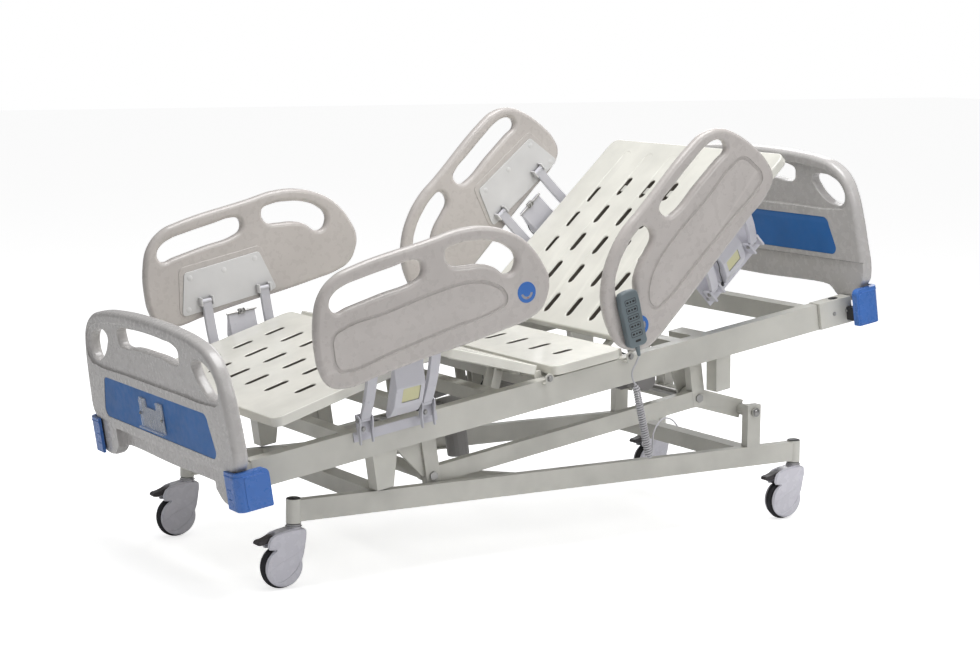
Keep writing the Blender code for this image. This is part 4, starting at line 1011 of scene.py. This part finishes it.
def coil(start, end):
    """A path that winds from start to end and is drawn in at both."""
    along = (end - start).normalized()
    side = along.cross(Vector((0, 1, 0))).normalized()
    across = along.cross(side)
    steps = COIL_TURNS * COIL_STEPS
    path = []
    for i in range(steps + 1):
        share = i / steps
        angle = 2 * math.pi * COIL_TURNS * share
        radius = (0.0082 + 0.002 * share) * min(1.0, share * 18, (1 - share) * 18 + 0.2)
        way = side * math.cos(angle) + across * math.sin(angle)
        path.append(start + (end - start) * share + way * radius)
    return path


def build_cable(top):
    """Straight lead, coil, and the thin loop that runs back up."""
    at = Matrix.Translation(top)
    lead = mm((0, 0, 4), (-12, 0, -20), (-24, 0, -42), (-22, 0, -62), (-12, 0, -80))
    loop = mm((42, 0, -296), (48, 1, -292), (54, 3, -262), (58, 4, -225), (78, 7, -198), (98, 10, -188),
        (128, 13, -195), (150, 16, -215))
    winding = coil(Vector((-0.012, 0, -0.078)), Vector(loop[0]))
    shapes = [tube(lead, 0.0027, at), tube(winding, 0.0027, at, False, 2), tube(loop, 0.0025, at)]
    cable = show("handset_coil", shapes, "cable_grey", "head_near_rail", ["handset_cable"])
    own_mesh(cable)


# ---- bolts, plugs, pads, wires
def side_bolts(kind, matrix, places, *size):
    """Bolts of one kind on both sides of the bed, their heads outwards."""
    bolts = []
    for side in SIDES:
        for x, y, z in places:
            bolts += kind(matrix, (x, side * y, z), (0, side, 0), *size)
    return bolts


def build_bolts():
    """Heads of the lift's pins, and bolts of the bed frame and the back section."""
    show("lift_pin_heads", side_bolts(dome_bolt, WORLD, [(1.58, 0.3795, 0.352)], 0.0105), "zinc",
        "lift_crank")
    hinges = [(hinge, 0.455, HINGE_Z) for hinge in (KNEE_X, HIP_X)]
    sockets = [(u, 0.4402, 0.04) for u in (2.01, 2.06)]
    bolts = (side_bolts(hex_bolt, BED, hinges, 0.0078, 0.005)
        + side_bolts(dome_bolt, BED, sockets, 0.0048))
    show("frame_bolts", bolts, "zinc", "bed")
    arms_mid = RAILS["head"][1]
    brackets = [(arms_mid + x, 0.4354, -0.095) for x in (-0.118, -0.06, 0.118)]
    show("back_bracket_bolts", side_bolts(dome_bolt, BACK, brackets, 0.0058), "zinc", "back")


def build_fittings():
    """Tube plugs, hinge ears, rubber pads and the rims of the pole sockets."""
    plugs = []
    ears = []
    pads = []
    rims = []
    for side in SIDES:
        for x in (0, WHEELBASE):
            plugs.append(lathe(mm((17.5, 244), (19.5, 246.2), (19, 248.2), (13, 250), (0, 250.6)),
                moved(WORLD, x, side * CASTER_Y), 32))
        for hinge in (KNEE_X, HIP_X):
            outline = arc((hinge, HINGE_Z), 0.0135, 0, 180, 12)
            outline += [(hinge - 0.0135, 0.0705), (hinge + 0.0135, 0.0705)]
            ears.append(sheet([outline], 0.0036, side_on(BED, y=side * 0.453), 0.001, 2))
            ears.append(block((hinge - 0.013, hinge + 0.013), sorted((side * 0.425, side * 0.454)),
                (0.07, 0.0735), BED, 0.001))
        for u in ((0.38, 0.428), (1.565, 1.615)):
            pads.append(block(u, sorted((side * 0.346, side * 0.394)), (-0.1124, -0.11), BED, 0.001))
        rims.append(lathe(mm((11.2, 82.6), (15, 82.6), (14.8, 83.8), (11.8, 84.2)),
            moved(BED, 2.03, side * 0.415), 32))
    show("caster_tube_plugs", plugs, "black_plastic", "base")
    show("hinge_ears", ears, "powder_coat", "bed")
    show("stop_pads", pads, "black_plastic", "bed")
    show("pole_socket_rims", rims, "black_plastic", "bed")


def build_wiring():
    """Wires and their ties on the base, and wires inside the bed frame."""
    thick = mm((1607, -300, 215), (1612, -160, 208), (1608, -40, 216), (1612, 100, 206), (1606, 240, 214))
    thin = mm((1606, -280, 224), (1614, -120, 218), (1606, 60, 226), (1610, 230, 220))
    wires = [tube(thick, 0.0035, WORLD), tube(thin, 0.0026, WORLD)]
    for y in (-0.2, -0.02, 0.17):
        tie = mm((1600, 204), (1618, 206), (1618, 230), (1600, 231))
        wires.append(tube([(x, y, z) for x, z in tie], 0.0012, WORLD, False, 1))
    show("base_wiring", wires, "black_plastic", "base")
    back = mm((1350, -10, 10), (1390, -80, 16), (1420, -140, 6), (1430, -160, -10))
    knee = mm((1203, -30, 6), (1120, -20, 14), (1000, 10, 4), (980, 20, -20))
    thick = mm((1972, -330, 30), (1966, -160, 16), (1972, 20, 26), (1966, 180, 14), (1972, 330, 28))
    thin = mm((1970, -300, 18), (1974, -80, 28), (1968, 100, 12), (1974, 300, 22))
    wires = [tube(path, radius, BED) for path, radius in
             ((back, 0.0032), (knee, 0.0032), (thick, 0.0036), (thin, 0.0028))]
    show("frame_wiring", wires, "black_plastic", "bed")


# ---- stage
def build_floor():
    """A pale floor that looks white to the camera and lights nothing."""
    bm = bmesh.new()
    bmesh.ops.create_grid(bm, x_segments=1, y_segments=1, size=30)
    floor = from_bmesh(bm)
    floor.name = "floor"
    pale = bpy.data.materials.new("floor")
    pale.use_nodes = True
    tree = pale.node_tree
    seen = node_of(tree, "LightPath").outputs["Is Camera Ray"]
    shader = tree.nodes["Principled BSDF"]
    for socket, value in (("Base Color", (0.93, 0.93, 0.93, 1)), ("Roughness", 0.9),
            ("Emission Color", (1, 1, 1, 1)), ("Emission Strength", ranged(tree, seen, 0, 0.68, 0, 1))):
        feed(tree, shader.inputs[socket], value)
    floor.data.materials.append(pale)


# name, place, diameter, power, aim
LIGHTS = (("key", (0.2, -0.6, 4.6), 3.2, 150, (0.2, 0, 0.5)),
          ("side", (2.2, -5.2, 2.8), 2.0, 45, (0.2, 0, 0.6)),
          ("rear", (3.4, 3.6, 3.2), 3.0, 40, (0.2, 0, 0.6)))


def build_lights():
    """A white surround, dimmer as a light than to the camera, and soft discs of light."""
    world = bpy.data.worlds.new("studio")
    bpy.context.scene.world = world
    world.use_nodes = True
    tree = world.node_tree
    background = tree.nodes["Background"]
    seen = node_of(tree, "LightPath").outputs["Is Camera Ray"]
    feed(tree, background.inputs["Color"], (1, 1, 1, 1))
    feed(tree, background.inputs["Strength"], ranged(tree, seen, 0.3, 1, 0, 1))
    for name, place, size, power, aim in LIGHTS:
        light = bpy.data.lights.new(name, "AREA")
        light.shape = "DISK"
        light.size = size
        light.energy = power
        lamp = bpy.data.objects.new(name, light)
        bpy.context.scene.collection.objects.link(lamp)
        lamp.location = place
        way = Vector(aim) - Vector(place)
        lamp.rotation_euler = way.to_track_quat("-Z", "Y").to_euler()
    bpy.context.scene.view_settings.view_transform = "Standard"


CAMERA_PLACE = (-2.645, -5.654, 1.541)
CAMERA_ANGLES = (31.69, 8.0, 0.51)
FOCAL_LENGTH = 81.0


def build_camera():
    """A long lens a little above the bed, from the foot of the near side."""
    yaw, pitch, roll = (math.radians(angle) for angle in CAMERA_ANGLES)
    forward = Vector((math.sin(yaw) * math.cos(pitch), math.cos(yaw) * math.cos(pitch), -math.sin(pitch)))
    level = Vector((math.cos(yaw), -math.sin(yaw), 0))
    above = level.cross(forward)
    right = level * math.cos(roll) + above * math.sin(roll)
    up = above * math.cos(roll) - level * math.sin(roll)
    lens = bpy.data.cameras.new("camera")
    lens.lens = FOCAL_LENGTH
    lens.sensor_width = 36.0
    lens.shift_y = 0.0047
    lens.clip_end = 100
    camera = bpy.data.objects.new("camera", lens)
    bpy.context.scene.collection.objects.link(camera)
    turn = Matrix((right, up, -forward)).transposed().to_4x4()
    camera.matrix_world = moved(WORLD, *CAMERA_PLACE) @ turn
    bpy.context.scene.camera = camera


# ---- build
keep_nodes()
build_deck()
build_board("footboard", FOOTBOARD_U, 0, 1.0, board_outline(0.0165, -0.019, 0.088))
build_board("headboard", HEADBOARD_U, 0.12, 0.95, board_outline(-0.006, -0.045, 0.01))
build_card_holder()
for side_name, side in (("near", -1), ("far", 1)):
    build_bumper("foot_%s_bumper" % side_name, side, -0.087, 1, (-0.03, 0.076), 0.012)
    build_bumper("head_%s_bumper" % side_name, side, 2.138, -1, (0, 0.114), 2.046)
    for end, x in (("foot", 0), ("head", WHEELBASE)):
        build_rail(end, side_name, side)
        build_caster(end, side_name, x, side * CASTER_Y)
build_handset()
build_bolts()
build_fittings()
build_wiring()
build_floor()
build_lights()
build_camera()
